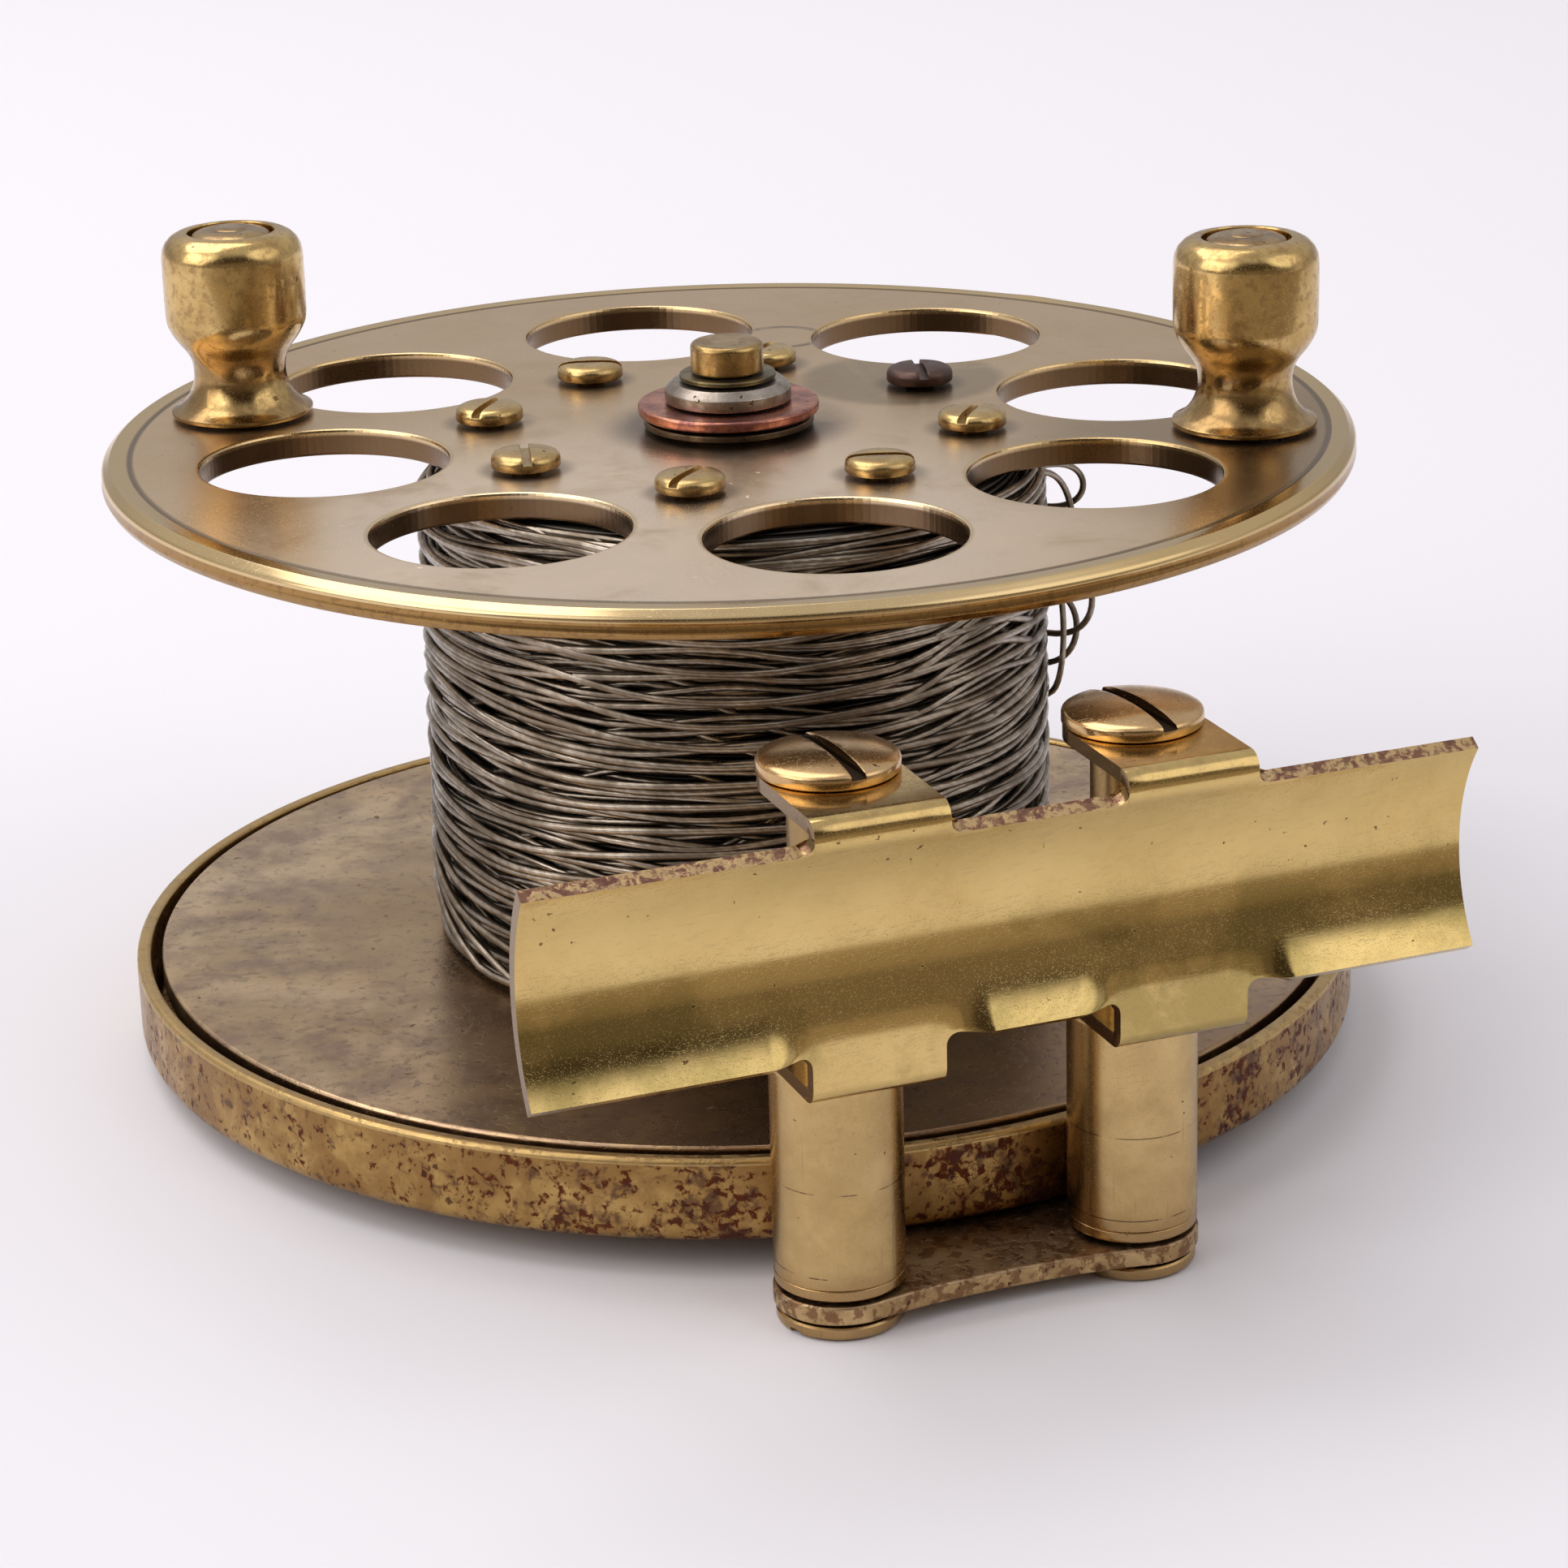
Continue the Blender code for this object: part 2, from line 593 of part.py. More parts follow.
# ---------------------------------------------------------------- handles
def handle_profile():
    """The handle's outer side from its crown down to its foot, from the flange up, as (radius, height)."""
    crown = arc_points((3.85 * MM, HANDLE_HEIGHT - 2.0 * MM), 2.0 * MM, pi / 2, 0.0, 5)
    waist = [(5.85, 8.8), (5.7, 7.9), (5.3, 7.1), (4.65, 6.2), (4.1, 5.4), (3.85, 4.5), (3.85, 3.5)]
    waist += [(4.1, 2.5), (4.6, 1.6), (5.3, 0.95), (5.9, 0.7), (5.9, GAP / MM)]
    return crown + [(radius * MM, height * MM) for radius, height in waist]


def make_handles():
    """Each handle turns on a pin that is riveted through the flange and headed over at the top."""
    bore = HANDLE_PIN_R + GAP
    recess_r = PIN_HEAD_R + GAP
    recess = HANDLE_HEIGHT - 1.2 * MM
    below = FLANGE_TOP - FLANGE_THICKNESS - GAP
    for side, (reach, angle) in HANDLE_PLACES.items():
        place = polar(reach, angle)
        outer = [(radius, FLANGE_TOP + height) for radius, height in handle_profile()]
        inner = [(bore, FLANGE_TOP + GAP), (bore, FLANGE_TOP + recess)]
        inner += [(recess_r, FLANGE_TOP + recess), (recess_r, FLANGE_TOP + HANDLE_HEIGHT)]
        finish(turned(f"handle_{side}", outer + inner, 28, place), BRASS, 0.18)
        head_edge = FLANGE_TOP + HANDLE_HEIGHT - 0.2 * MM
        head_bottom = FLANGE_TOP + recess + GAP
        profile = [(0.0, head_edge + PIN_DOME), (PIN_HEAD_R * 0.5, head_edge + PIN_DOME * 0.75)]
        profile += [(PIN_HEAD_R, head_edge), (PIN_HEAD_R, head_bottom), (HANDLE_PIN_R, head_bottom)]
        profile += [(HANDLE_PIN_R, below)]
        profile += [(2.4 * MM, below), (1.9 * MM, below - 0.7 * MM), (0.0, below - 0.7 * MM)]
        finish(turned(f"handle_pin_{side}", profile, 20, place), BRASS, 0.3)


# ---------------------------------------------------------------- check
def wheel_radius(angle):
    """The ratchet wheel's outline: pointed teeth with straight flanks, a gap at angle zero."""
    phase = (angle * WHEEL_TEETH / (2 * pi)) % 1.0
    return WHEEL_ROOT_R + (WHEEL_TIP_R - WHEEL_ROOT_R) * (1 - abs(2 * phase - 1))


def beside_wheel(along, out):
    """A point given from the pawl's resting nose: along the wheel's tangent, and outwards from it."""
    outward = Vector((cos(NOSE_ANGLE), sin(NOSE_ANGLE)))
    tangent = Vector((-sin(NOSE_ANGLE), cos(NOSE_ANGLE)))
    return (outward * (NOSE_R + out) + tangent * along)[:]


PAWL_PIVOT = beside_wheel(11.0 * MM, 3.2 * MM)
SPRING_POST = beside_wheel(14.0 * MM, 9.5 * MM)


def make_check_wheel():
    """The toothed wheel fixed under the rear flange."""
    outline = []
    steps = WHEEL_TEETH * 2
    for i in range(steps):
        angle = 2 * pi * i / steps
        outline.append(polar(wheel_radius(angle), angle + NOSE_ANGLE))
    bore = circle_points((0.0, 0.0), SPINDLE_R + 0.6 * MM, 20)
    return finish(flat_plate("check_wheel", [outline, bore], WHEEL_BOTTOM, WHEEL_TOP), STEEL, 0.4)


def make_pawl():
    """A short lever whose pointed nose sits in a tooth gap; it swings out about its pivot."""
    shape = [(0.0, 0.0), (-0.9, 1.5), (-1.3, 3.9), (-0.8, 4.6)]
    outline = [beside_wheel(along * MM, out * MM) for along, out in shape]
    for along, out in arc_points((11.0 * MM, 3.2 * MM), PAWL_BOSS_R, radians(95), radians(-95), 12):
        outline.append(beside_wheel(along, out))
    outline += [beside_wheel(2.4 * MM, 1.8 * MM), beside_wheel(0.9 * MM, 1.5 * MM)]
    hole = circle_points(PAWL_PIVOT, PAWL_PIVOT_R + GAP, 16)
    obj = flat_plate("check_pawl", [outline, hole], WHEEL_BOTTOM, WHEEL_TOP - 0.3 * MM)
    return finish(obj, STEEL, 0.35)


def make_check_posts():
    """The pawl's shouldered pivot and the spring's post, standing on the pan's floor."""
    floor = PAN_WALL + GAP
    under = WHEEL_BOTTOM - GAP
    top = WHEEL_TOP
    profile = [(0.0, top), (PAWL_PIVOT_R, top), (PAWL_PIVOT_R, under), (2.2 * MM, under)]
    profile += [(2.2 * MM, floor), (0.0, floor)]
    finish(turned("pawl_pivot", profile, 20, PAWL_PIVOT), STEEL, 0.35)
    post = disc_profile(SPRING_POST_R, floor, WHEEL_TOP - 0.4 * MM)
    finish(turned("spring_post", post, 16, SPRING_POST), BRASS)


def make_check_spring():
    """A flat strip that hooks round its post and bears on the pawl's back."""
    half = 0.25 * MM
    hook_r = SPRING_POST_R + GAP + half
    line = arc_points((14.0 * MM, 9.5 * MM), hook_r, radians(-60), radians(100), 10)
    line += [(8.0 * MM, 9.0 * MM), (2.2 * MM, 5.6 * MM), (0.6 * MM, 5.9 * MM)]
    left = []
    right = []
    for index, point in enumerate(line):
        before = Vector(line[max(index - 1, 0)])
        after = Vector(line[min(index + 1, len(line) - 1)])
        way = (after - before).normalized()
        side = Vector((-way.y, way.x)) * half
        left.append(beside_wheel(*(Vector(point) + side)))
        right.append(beside_wheel(*(Vector(point) - side)))
    strip = flat_plate("check_spring", [left + right[::-1]], WHEEL_BOTTOM, WHEEL_TOP - 0.5 * MM)
    return finish(strip, STEEL, 0.3)


make_back_pan()
make_bracket()
make_rivets()
make_pillars()
make_frame_screws()
make_saddle()
make_spindle()
make_stack()
make_front_flange()
make_rear_flange()
make_drum()
make_hub_tube()
make_face_screws()
make_line()
make_handles()
make_check_wheel()
make_pawl()
make_check_posts()
make_check_spring()
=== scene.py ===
"""Wide-drum brass fly reel on a saddle foot, loaded with stranded wire line."""
from math import asin, cos, pi, radians, sin, tan, tau

import bmesh
import bpy
from mathutils import Matrix, Vector


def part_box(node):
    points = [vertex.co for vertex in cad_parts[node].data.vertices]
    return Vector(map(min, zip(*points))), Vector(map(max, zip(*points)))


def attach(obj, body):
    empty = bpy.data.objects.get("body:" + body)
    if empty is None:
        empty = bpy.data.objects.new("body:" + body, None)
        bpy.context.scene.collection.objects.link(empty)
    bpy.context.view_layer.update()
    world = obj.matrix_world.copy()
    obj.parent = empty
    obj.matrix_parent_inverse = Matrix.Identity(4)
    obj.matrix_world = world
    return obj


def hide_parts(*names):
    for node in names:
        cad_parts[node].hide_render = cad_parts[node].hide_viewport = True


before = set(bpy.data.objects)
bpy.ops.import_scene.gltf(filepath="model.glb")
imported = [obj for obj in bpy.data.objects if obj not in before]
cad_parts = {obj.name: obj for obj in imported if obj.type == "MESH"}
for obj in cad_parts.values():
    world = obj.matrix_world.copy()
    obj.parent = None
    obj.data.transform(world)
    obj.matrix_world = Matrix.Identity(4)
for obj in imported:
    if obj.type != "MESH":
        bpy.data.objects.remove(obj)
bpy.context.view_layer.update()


# ------------------------------------------------------------------------------------------------
# The back pan.  A shallow brass pan turned from sheet, about 102 mm across and 7 mm deep, with a thin
# upright rim.  It carries the fixed spindle and shields the spool's rear flange.  Its outside has gone
# golden brown, with red and purple pitting where fingers and damp have reached it.
MM = 0.001


def rounded(points, closed=False, cuts=4):
    """Round the corners of an outline: each point is (across, up) or (across, up, radius), in mm.

    A short straight piece is kept beside each round, so that flat faces stay flat when they are shaded.
    """
    result = []
    count = len(points)
    for index, point in enumerate(points):
        here = Vector(point[:2])
        radius = point[2] if len(point) > 2 else 0.0
        end = index in (0, count - 1) and not closed
        if end or radius == 0.0:
            result.append(here[:])
            continue
        before = Vector(points[index - 1][:2]) - here
        after = Vector(points[(index + 1) % count][:2]) - here
        corner = before.angle(after)
        reach = radius / tan(corner / 2)
        start = here + before.normalized() * reach
        stop = here + after.normalized() * reach
        middle = here + (before.normalized() + after.normalized()).normalized() * radius / sin(corner / 2)
        spare = min(0.12, (before.length - reach) * 0.4)
        result.append((start + before.normalized() * spare)[:])
        first = start - middle
        turn = (stop - middle).angle_signed(first)
        for cut in range(cuts + 1):
            result.append((middle + Matrix.Rotation(turn * cut / cuts, 2) @ first)[:])
        spare = min(0.12, (after.length - reach) * 0.4)
        result.append((stop + after.normalized() * spare)[:])
    return result


def mesh_object(name, mesh):
    """Link a mesh as a new piece at the origin."""
    piece = bpy.data.objects.new(name, mesh)
    bpy.context.scene.collection.objects.link(piece)
    return piece


def turned(name, outline, steps=128, middle=(0.0, 0.0), ring=True):
    """Turn an outline of (radius, height) in mm about an upright axis.

    The outline runs down the outside and, for a ring, back up the inside.
    """
    mesh = bpy.data.meshes.new(name)
    work = bmesh.new()
    rows = []
    for radius, height in outline:
        turns = range(steps) if radius > 0.0 else range(1)
        row = []
        for i in turns:
            angle = tau * i / steps
            place = (middle[0] + radius * cos(angle), middle[1] + radius * sin(angle), height)
            row.append(work.verts.new(Vector(place) * MM))
        rows.append(row)
    pairs = list(zip(rows, rows[1:]))
    if ring:
        pairs.append((rows[-1], rows[0]))
    for upper, lower in pairs:
        for i in range(steps):
            j = i + 1
            corners = [upper[j % len(upper)] if len(upper) > 1 else upper[0]]
            if len(upper) > 1:
                corners.append(upper[i])
            corners.append(lower[i] if len(lower) > 1 else lower[0])
            if len(lower) > 1:
                corners.append(lower[j % len(lower)])
            if len(corners) > 2:
                work.faces.new(corners)
    work.to_mesh(mesh)
    work.free()
    return mesh_object(name, mesh)


def baked(piece):
    """What a piece's modifiers or its curve come to, as a plain mesh."""
    bpy.context.view_layer.update()
    graph = bpy.context.evaluated_depsgraph_get()
    return bpy.data.meshes.new_from_object(piece.evaluated_get(graph), depsgraph=graph)


def flatten(piece):
    """Apply a piece's modifiers."""
    mesh = baked(piece)
    piece.modifiers.clear()
    piece.data = mesh
    return piece


def settle(piece):
    """Shade a piece evenly, and apply its modifiers."""
    for polygon in piece.data.polygons:
        polygon.use_smooth = True
    piece.data.set_sharp_from_angle(angle=radians(38))
    even = piece.modifiers.new("even_shading", "WEIGHTED_NORMAL")
    even.weight = 80
    even.keep_sharp = True
    return flatten(piece)


def soften(piece, width, segments):
    """Round a piece's sharp edges by a width in mm."""
    bevel = piece.modifiers.new("soften", "BEVEL")
    bevel.width = width * MM
    bevel.segments = segments
    bevel.limit_method = "ANGLE"
    bevel.angle_limit = radians(50)


def cut_away(piece, tool):
    """Cut one piece with another."""
    cut = piece.modifiers.new("cut", "BOOLEAN")
    cut.solver = "EXACT"
    cut.object = tool


def node_span(node):
    """A node's middle as (x, y), its lowest point and its highest, in mm."""
    low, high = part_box(node)
    middle = ((low[0] + high[0]) / 2 / MM, (low[1] + high[1]) / 2 / MM)
    return middle, low[2] / MM, high[2] / MM


def fit(piece, body, *nodes):
    """Fix a finished piece to its body, in place of the plain solids it stands for."""
    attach(piece, body)
    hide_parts(*nodes)
    return piece


def feed(tree, socket, value):
    """Link an input to another node's output, or set it."""
    if isinstance(value, bpy.types.NodeSocket):
        tree.links.new(value, socket)
    else:
        socket.default_value = value


def add(tree, kind, setting=None, output=0, **inputs):
    """Add a node, feed its inputs by name (iN is input number N), and give back one output."""
    made = tree.nodes.new(kind if kind.startswith("GeometryNode") else "ShaderNode" + kind)
    for name, value in (setting or {}).items():
        setattr(made, name, value)
    for name, value in inputs.items():
        feed(tree, made.inputs[int(name[1:]) if name[0] == "i" and name[1:].isdigit() else name], value)
    return made.outputs[output]


def maths(tree, operation, first, second=0.0, third=0.0, clamp=False):
    """One Math node."""
    setting = {"operation": operation, "use_clamp": clamp}
    return add(tree, "Math", setting, i0=first, i1=second, i2=third)


def blend(tree, mask, under, over):
    """Lay one colour over another where the mask is white."""
    made = tree.nodes.new("ShaderNodeMix")
    made.data_type = "RGBA"
    for number, value in ((0, mask), (6, under), (7, over)):
        feed(tree, made.inputs[number], (*value, 1.0) if isinstance(value, tuple) else value)
    return made.outputs[2]


def wash(tree, under, over, *masks):
    """Lay one colour over another where all the masks are white."""
    mask = masks[0]
    for other in masks[1:]:
        mask = maths(tree, "MULTIPLY", mask, other)
    return blend(tree, mask, under, over)


def ramp(tree, value, low, high, start=0.0, stop=1.0):
    """Ease a value from start to stop between low and high."""
    smooth = {"interpolation_type": "SMOOTHSTEP"}
    return add(tree, "MapRange", smooth, i0=value, i1=low, i2=high, i3=start, i4=stop)


def group(name, inputs, outputs):
    """Start a shader node group; inputs are (name, kind, value)."""
    tree = bpy.data.node_groups.new(name, "ShaderNodeTree")
    for label, kind, value in inputs:
        socket = tree.interface.new_socket(label, in_out="INPUT", socket_type="NodeSocket" + kind)
        if value is not None:
            socket.default_value = value
    for label, kind in outputs:
        tree.interface.new_socket(label, in_out="OUTPUT", socket_type="NodeSocket" + kind)
    given = tree.nodes.new("NodeGroupInput")
    result = tree.nodes.new("NodeGroupOutput")
    return tree, given.outputs, result.inputs


def tarnish_group():
    """Soft clouds of tarnish: Size is in metres, Cover is the share of the surface they take."""
    inputs = [("Place", "Vector", None), ("Size", "Float", 0.01), ("Cover", "Float", 0.5)]
    inputs += [("Softness", "Float", 0.1)]
    tree, given, result = group("Tarnish clouds", inputs, [("Mask", "Float")])
    scale = maths(tree, "DIVIDE", 1.0, given["Size"])
    cloud = add(tree, "TexNoise", Vector=given["Place"], Scale=scale, Detail=7.0, Roughness=0.62,
                Distortion=0.4)
    middle = maths(tree, "MULTIPLY_ADD", given["Cover"], -0.36, 0.68)
    low = maths(tree, "SUBTRACT", middle, given["Softness"])
    high = maths(tree, "ADD", middle, given["Softness"])
    tree.links.new(ramp(tree, cloud, low, high), result["Mask"])
    return tree


def pitting_group():
    """Small ragged pits and spots: Spacing is in metres, Share is how many places hold one."""
    inputs = [("Place", "Vector", None), ("Spacing", "Float", 0.002), ("Share", "Float", 0.2)]
    inputs += [("Radius", "Float", 0.3)]
    tree, given, result = group("Pitting", inputs, [("Mask", "Float")])
    scale = maths(tree, "DIVIDE", 1.0, given["Spacing"])
    ragged = maths(tree, "MULTIPLY", scale, 3.1)
    wobble = add(tree, "TexNoise", output=1, Vector=given["Place"], Scale=ragged, Detail=3.0)
    centred = add(tree, "VectorMath", {"operation": "SUBTRACT"}, i0=wobble, i1=(0.5, 0.5, 0.5))
    reach = maths(tree, "MULTIPLY", given["Spacing"], 0.75)
    pushed = add(tree, "VectorMath", {"operation": "SCALE"}, i0=centred, Scale=reach)
    place = add(tree, "VectorMath", {"operation": "ADD"}, i0=given["Place"], i1=pushed)
    cells = add(tree, "TexVoronoi", Vector=place, Scale=scale).node.outputs
    chance = add(tree, "SeparateColor", i0=cells["Color"]).node.outputs
    chosen = maths(tree, "LESS_THAN", chance[0], given["Share"])
    own = maths(tree, "MULTIPLY_ADD", chance[1], 0.8, 0.2)
    radius = maths(tree, "MULTIPLY", own, given["Radius"])
    inner = maths(tree, "MULTIPLY", radius, 0.7)
    spot = ramp(tree, cells["Distance"], inner, radius, 1.0, 0.0)
    tree.links.new(maths(tree, "MULTIPLY", spot, chosen), result["Mask"])
    return tree


def hairline_group():
    """Hair scratches: long thin streaks along the stretched axis, broken into short runs."""
    inputs = [("Place", "Vector", None), ("Turn", "Vector", None), ("Width", "Float", 0.0001)]
    inputs += [("Length", "Float", 0.01), ("Share", "Float", 0.1)]
    tree, given, result = group("Hairlines", inputs, [("Mask", "Float")])
    spun = add(tree, "VectorRotate", {"rotation_type": "EULER_XYZ"}, Vector=given["Place"],
               Rotation=given["Turn"])
    across = maths(tree, "DIVIDE", 1.0, given["Width"])
    stretch = add(tree, "CombineXYZ", i0=maths(tree, "DIVIDE", 1.0, given["Length"]), i1=across, i2=across)
    place = add(tree, "VectorMath", {"operation": "MULTIPLY"}, i0=spun, i1=stretch)
    streak = add(tree, "TexNoise", Vector=place, Scale=1.0, Detail=2.0, Roughness=0.5)
    low = maths(tree, "MULTIPLY_ADD", given["Share"], -0.3, 0.74)
    high = maths(tree, "ADD", low, 0.05)
    tree.links.new(ramp(tree, streak, low, high), result["Mask"])
    return tree


TARNISH = tarnish_group()
PITTING = pitting_group()
HAIRLINES = hairline_group()


def use(tree, effect, **values):
    """Place a shared effect in a material and give back its mask."""
    made = tree.nodes.new("ShaderNodeGroup")
    made.node_tree = effect
    for name, value in values.items():
        feed(tree, made.inputs[name], value)
    return made.outputs[0]


def clouds(tree, place, size, cover, softness):
    """A mask of tarnish clouds."""
    return use(tree, TARNISH, Place=place, Size=size, Cover=cover, Softness=softness)


def finish_tree(name):
    """Start a metal material: its tree, its shader's inputs and the place on the piece."""
    finish = bpy.data.materials.new(name)
    finish.use_nodes = True
    tree = finish.node_tree
    given = tree.nodes["Principled BSDF"].inputs
    given["Metallic"].default_value = 1.0
    return finish, tree, given, tree.nodes.new("ShaderNodeTexCoord").outputs["Object"]


def connect(tree, given, colour, roughness, strength, distance, height):
    """Feed a material's shader its colour, roughness and bump."""
    feed(tree, given["Base Color"], colour)
    feed(tree, given["Roughness"], roughness)
    bump = add(tree, "Bump", Strength=strength, Distance=distance, Height=height)
    feed(tree, given["Normal"], bump)


def metal(name, clean, dull, spots, cloud=(0.012, 0.5, 0.12), pits=(0.0016, 0.15, 0.35), rough=(0.2, 0.4),
          scratch=0.3, rings=0.0, dents=0.15, more=None):
    """A worn metal: clean and dull colours in clouds, dark pits, hair scratches and faint lathe rings.

    cloud is (size, cover, softness); pits is (spacing, share, radius); rough is (clean, dull).
    more, if given, takes (tree, place, colour, roughness, height) and gives back the last three.
    """
    finish, tree, given, place = finish_tree(name)
    big = clouds(tree, place, cloud[0], cloud[1], cloud[2])
    small = clouds(tree, place, cloud[0] * 0.13, 0.5, 0.16)
    grime = maths(tree, "MULTIPLY_ADD", small, 0.35, 0.65)
    mask = maths(tree, "MULTIPLY", big, grime)
    colour = blend(tree, mask, clean, dull)
    pit = use(tree, PITTING, Place=place, Spacing=pits[0], Share=pits[1], Radius=pits[2])
    colour = blend(tree, pit, colour, spots)
    turns = ((0.3, 0.2, 0.5), (0.1, -0.4, 2.2), (0.5, 0.1, 1.3))
    lines = None
    for turn in turns:
        line = use(tree, HAIRLINES, Place=place, Turn=turn, Width=0.00012, Length=0.007, Share=scratch)
        lines = line if lines is None else maths(tree, "MAXIMUM", lines, line)
    roughness = maths(tree, "MULTIPLY_ADD", mask, rough[1] - rough[0], rough[0])
    roughness = maths(tree, "MULTIPLY_ADD", lines, 0.12, roughness)
    roughness = maths(tree, "MULTIPLY_ADD", pit, 0.25, roughness, clamp=True)
    height = maths(tree, "MULTIPLY_ADD", lines, -0.12, maths(tree, "MULTIPLY", pit, -1.0))
    waves = add(tree, "TexNoise", Vector=place, Scale=420.0, Detail=3.0, Roughness=0.55)
    height = maths(tree, "MULTIPLY_ADD", waves, dents, height)
    if rings:
        reach = distance_from(tree, place, (0.0, 0.0, 0.0))
        ring = add(tree, "TexNoise", {"noise_dimensions": "1D"}, W=reach, Scale=2600.0, Detail=3.0,
                   Roughness=0.7)
        height = maths(tree, "MULTIPLY_ADD", ring, rings, height)
    if more:
        colour, roughness, height = more(tree, place, colour, roughness, height)
    connect(tree, given, colour, roughness, 0.35, 0.00006, height)
    return finish


def distance_from(tree, place, point):
    """How far the surface is from the upright line through a point, in metres."""
    apart = add(tree, "VectorMath", {"operation": "SUBTRACT"}, i0=place, i1=point)
    apart = add(tree, "VectorMath", {"operation": "MULTIPLY"}, i0=apart, i1=(1.0, 1.0, 0.0))
    return add(tree, "VectorMath", {"operation": "LENGTH"}, output=1, i0=apart)


def nearest_of_ring(tree, place, count, pitch, first):
    """How far the surface is from the nearest of a ring of upright lines, in metres."""
    nearest = None
    for number in range(count):
        angle = radians(first + 360.0 / count * number)
        away = distance_from(tree, place, (pitch * MM * cos(angle), pitch * MM * sin(angle), 0.0))
        nearest = away if nearest is None else maths(tree, "MINIMUM", nearest, away)
    return nearest


def pan_weathering(tree, place, colour, roughness, height):
    """Brown staining, red and purple corrosion that is heaviest at the front of the rim, and the rim's top
    painted lighter as a highlight.
    """
    split = add(tree, "SeparateXYZ", Vector=place).node.outputs
    front = ramp(tree, distance_from(tree, place, (0.004, -0.050, 0.0)), 0.058, 0.012, 0.12, 1.0)
    stain = clouds(tree, place, 0.0042, 0.62, 0.10)
    colour = wash(tree, colour, (0.27, 0.145, 0.05), stain, 0.75)
    heavy = clouds(tree, place, 0.0065, 0.55, 0.12)
    heavy = maths(tree, "MULTIPLY", heavy, front)
    cover = maths(tree, "MULTIPLY_ADD", heavy, 0.38, 0.17)
    red = clouds(tree, place, 0.0008, cover, 0.05)
    colour = blend(tree, red, colour, (0.13, 0.035, 0.015))
    shifted = add(tree, "VectorMath", {"operation": "ADD"}, i0=place, i1=(0.013, 0.007, 0.004))
    purple = clouds(tree, shifted, 0.0014, cover, 0.08)
    colour = wash(tree, colour, (0.09, 0.04, 0.03), purple, 0.75)
    share = maths(tree, "MULTIPLY_ADD", heavy, 0.5, 0.1)
    fleck = use(tree, PITTING, Place=place, Spacing=0.0008, Share=share, Radius=0.45)
    colour = wash(tree, colour, (0.08, 0.03, 0.02), fleck, 0.85)
    # Painted highlight: the top half millimetre of the rim is painted a lighter gold.
    top = maths(tree, "MULTIPLY", maths(tree, "GREATER_THAN", split[2], (pan_top - 0.5) * MM), 0.55)
    colour = blend(tree, top, colour, (0.62, 0.44, 0.19))
    height = maths(tree, "MULTIPLY_ADD", red, -0.7, height)
    height = maths(tree, "MULTIPLY_ADD", purple, -0.4, height)
    roughness = maths(tree, "MULTIPLY_ADD", red, 0.22, roughness, clamp=True)
    return colour, roughness, height


PAN = {"radius": 51.6, "inside": 50.4, "floor": 1.2, "bore": 2.9}
pan_top = node_span("back_pan")[2]
pan_outline = rounded([
    (PAN["radius"], pan_top, 0.42), (PAN["radius"], 0.0, 1.1), (PAN["bore"], 0.0),
    (PAN["bore"], PAN["floor"]), (PAN["inside"], PAN["floor"], 0.6), (PAN["inside"], pan_top, 0.3),
], closed=True)
pan = settle(turned("back_pan_shell", pan_outline, 192))
pan.data.materials.append(metal("Pan brass", (0.54, 0.35, 0.125), (0.36, 0.215, 0.07), (0.14, 0.06, 0.035),
                                cloud=(0.009, 0.55, 0.12), pits=(0.0014, 0.25, 0.3), rough=(0.26, 0.42),
                                rings=0.25, dents=0.3, more=pan_weathering))
fit(pan, "frame", "back_pan")


# ------------------------------------------------------------------------------------------------
# The foot bracket and its rivets.  A waisted plate of 1.5 mm brass, sawn and filed to shape, its
# corroded edge left rough.  Three round-head rivets hold it under the pan, and the pillars stand on
# its two round ends.
pillar_places = [node_span("pillar_" + side)[0] for side in ("left", "right")]


def arc(middle, radius, start, stop, cuts):
    """Points round part of a circle, in degrees."""
    points = []
    for cut in range(cuts + 1):
        angle = radians(start + (stop - start) * cut / cuts)
        points.append((middle[0] + radius * cos(angle), middle[1] + radius * sin(angle)))
    return points


def drawn_mesh(shape):
    """A curve's body as a plain mesh."""
    drawn = bpy.data.objects.new(shape.name, shape)
    bpy.context.scene.collection.objects.link(drawn)
    mesh = baked(drawn)
    bpy.data.objects.remove(drawn, do_unlink=True)
    return mesh


def plate(name, outline, bottom, top, edge):
    """A flat plate with softened edges, from its closed outline, in mm."""
    shape = bpy.data.curves.new(name, "CURVE")
    shape.dimensions = "2D"
    shape.fill_mode = "BOTH"
    shape.extrude = ((top - bottom) / 2 - edge) * MM
    shape.bevel_depth = edge * MM
    shape.bevel_resolution = 2
    shape.offset = -edge * MM
    spline = shape.splines.new("POLY")
    spline.points.add(len(outline) - 1)
    for point, (across, up) in zip(spline.points, outline):
        point.co = (across * MM, up * MM, 0.0, 1.0)
    spline.use_cyclic_u = True
    mesh = drawn_mesh(shape)
    mesh.transform(Matrix.Translation((0.0, 0.0, (top + bottom) / 2 * MM)))
    work = bmesh.new()
    work.from_mesh(mesh)
    bmesh.ops.remove_doubles(work, verts=work.verts, dist=1e-6)
    bmesh.ops.recalc_face_normals(work, faces=work.faces)
    work.to_mesh(mesh)
    work.free()
    return mesh_object(name, mesh)


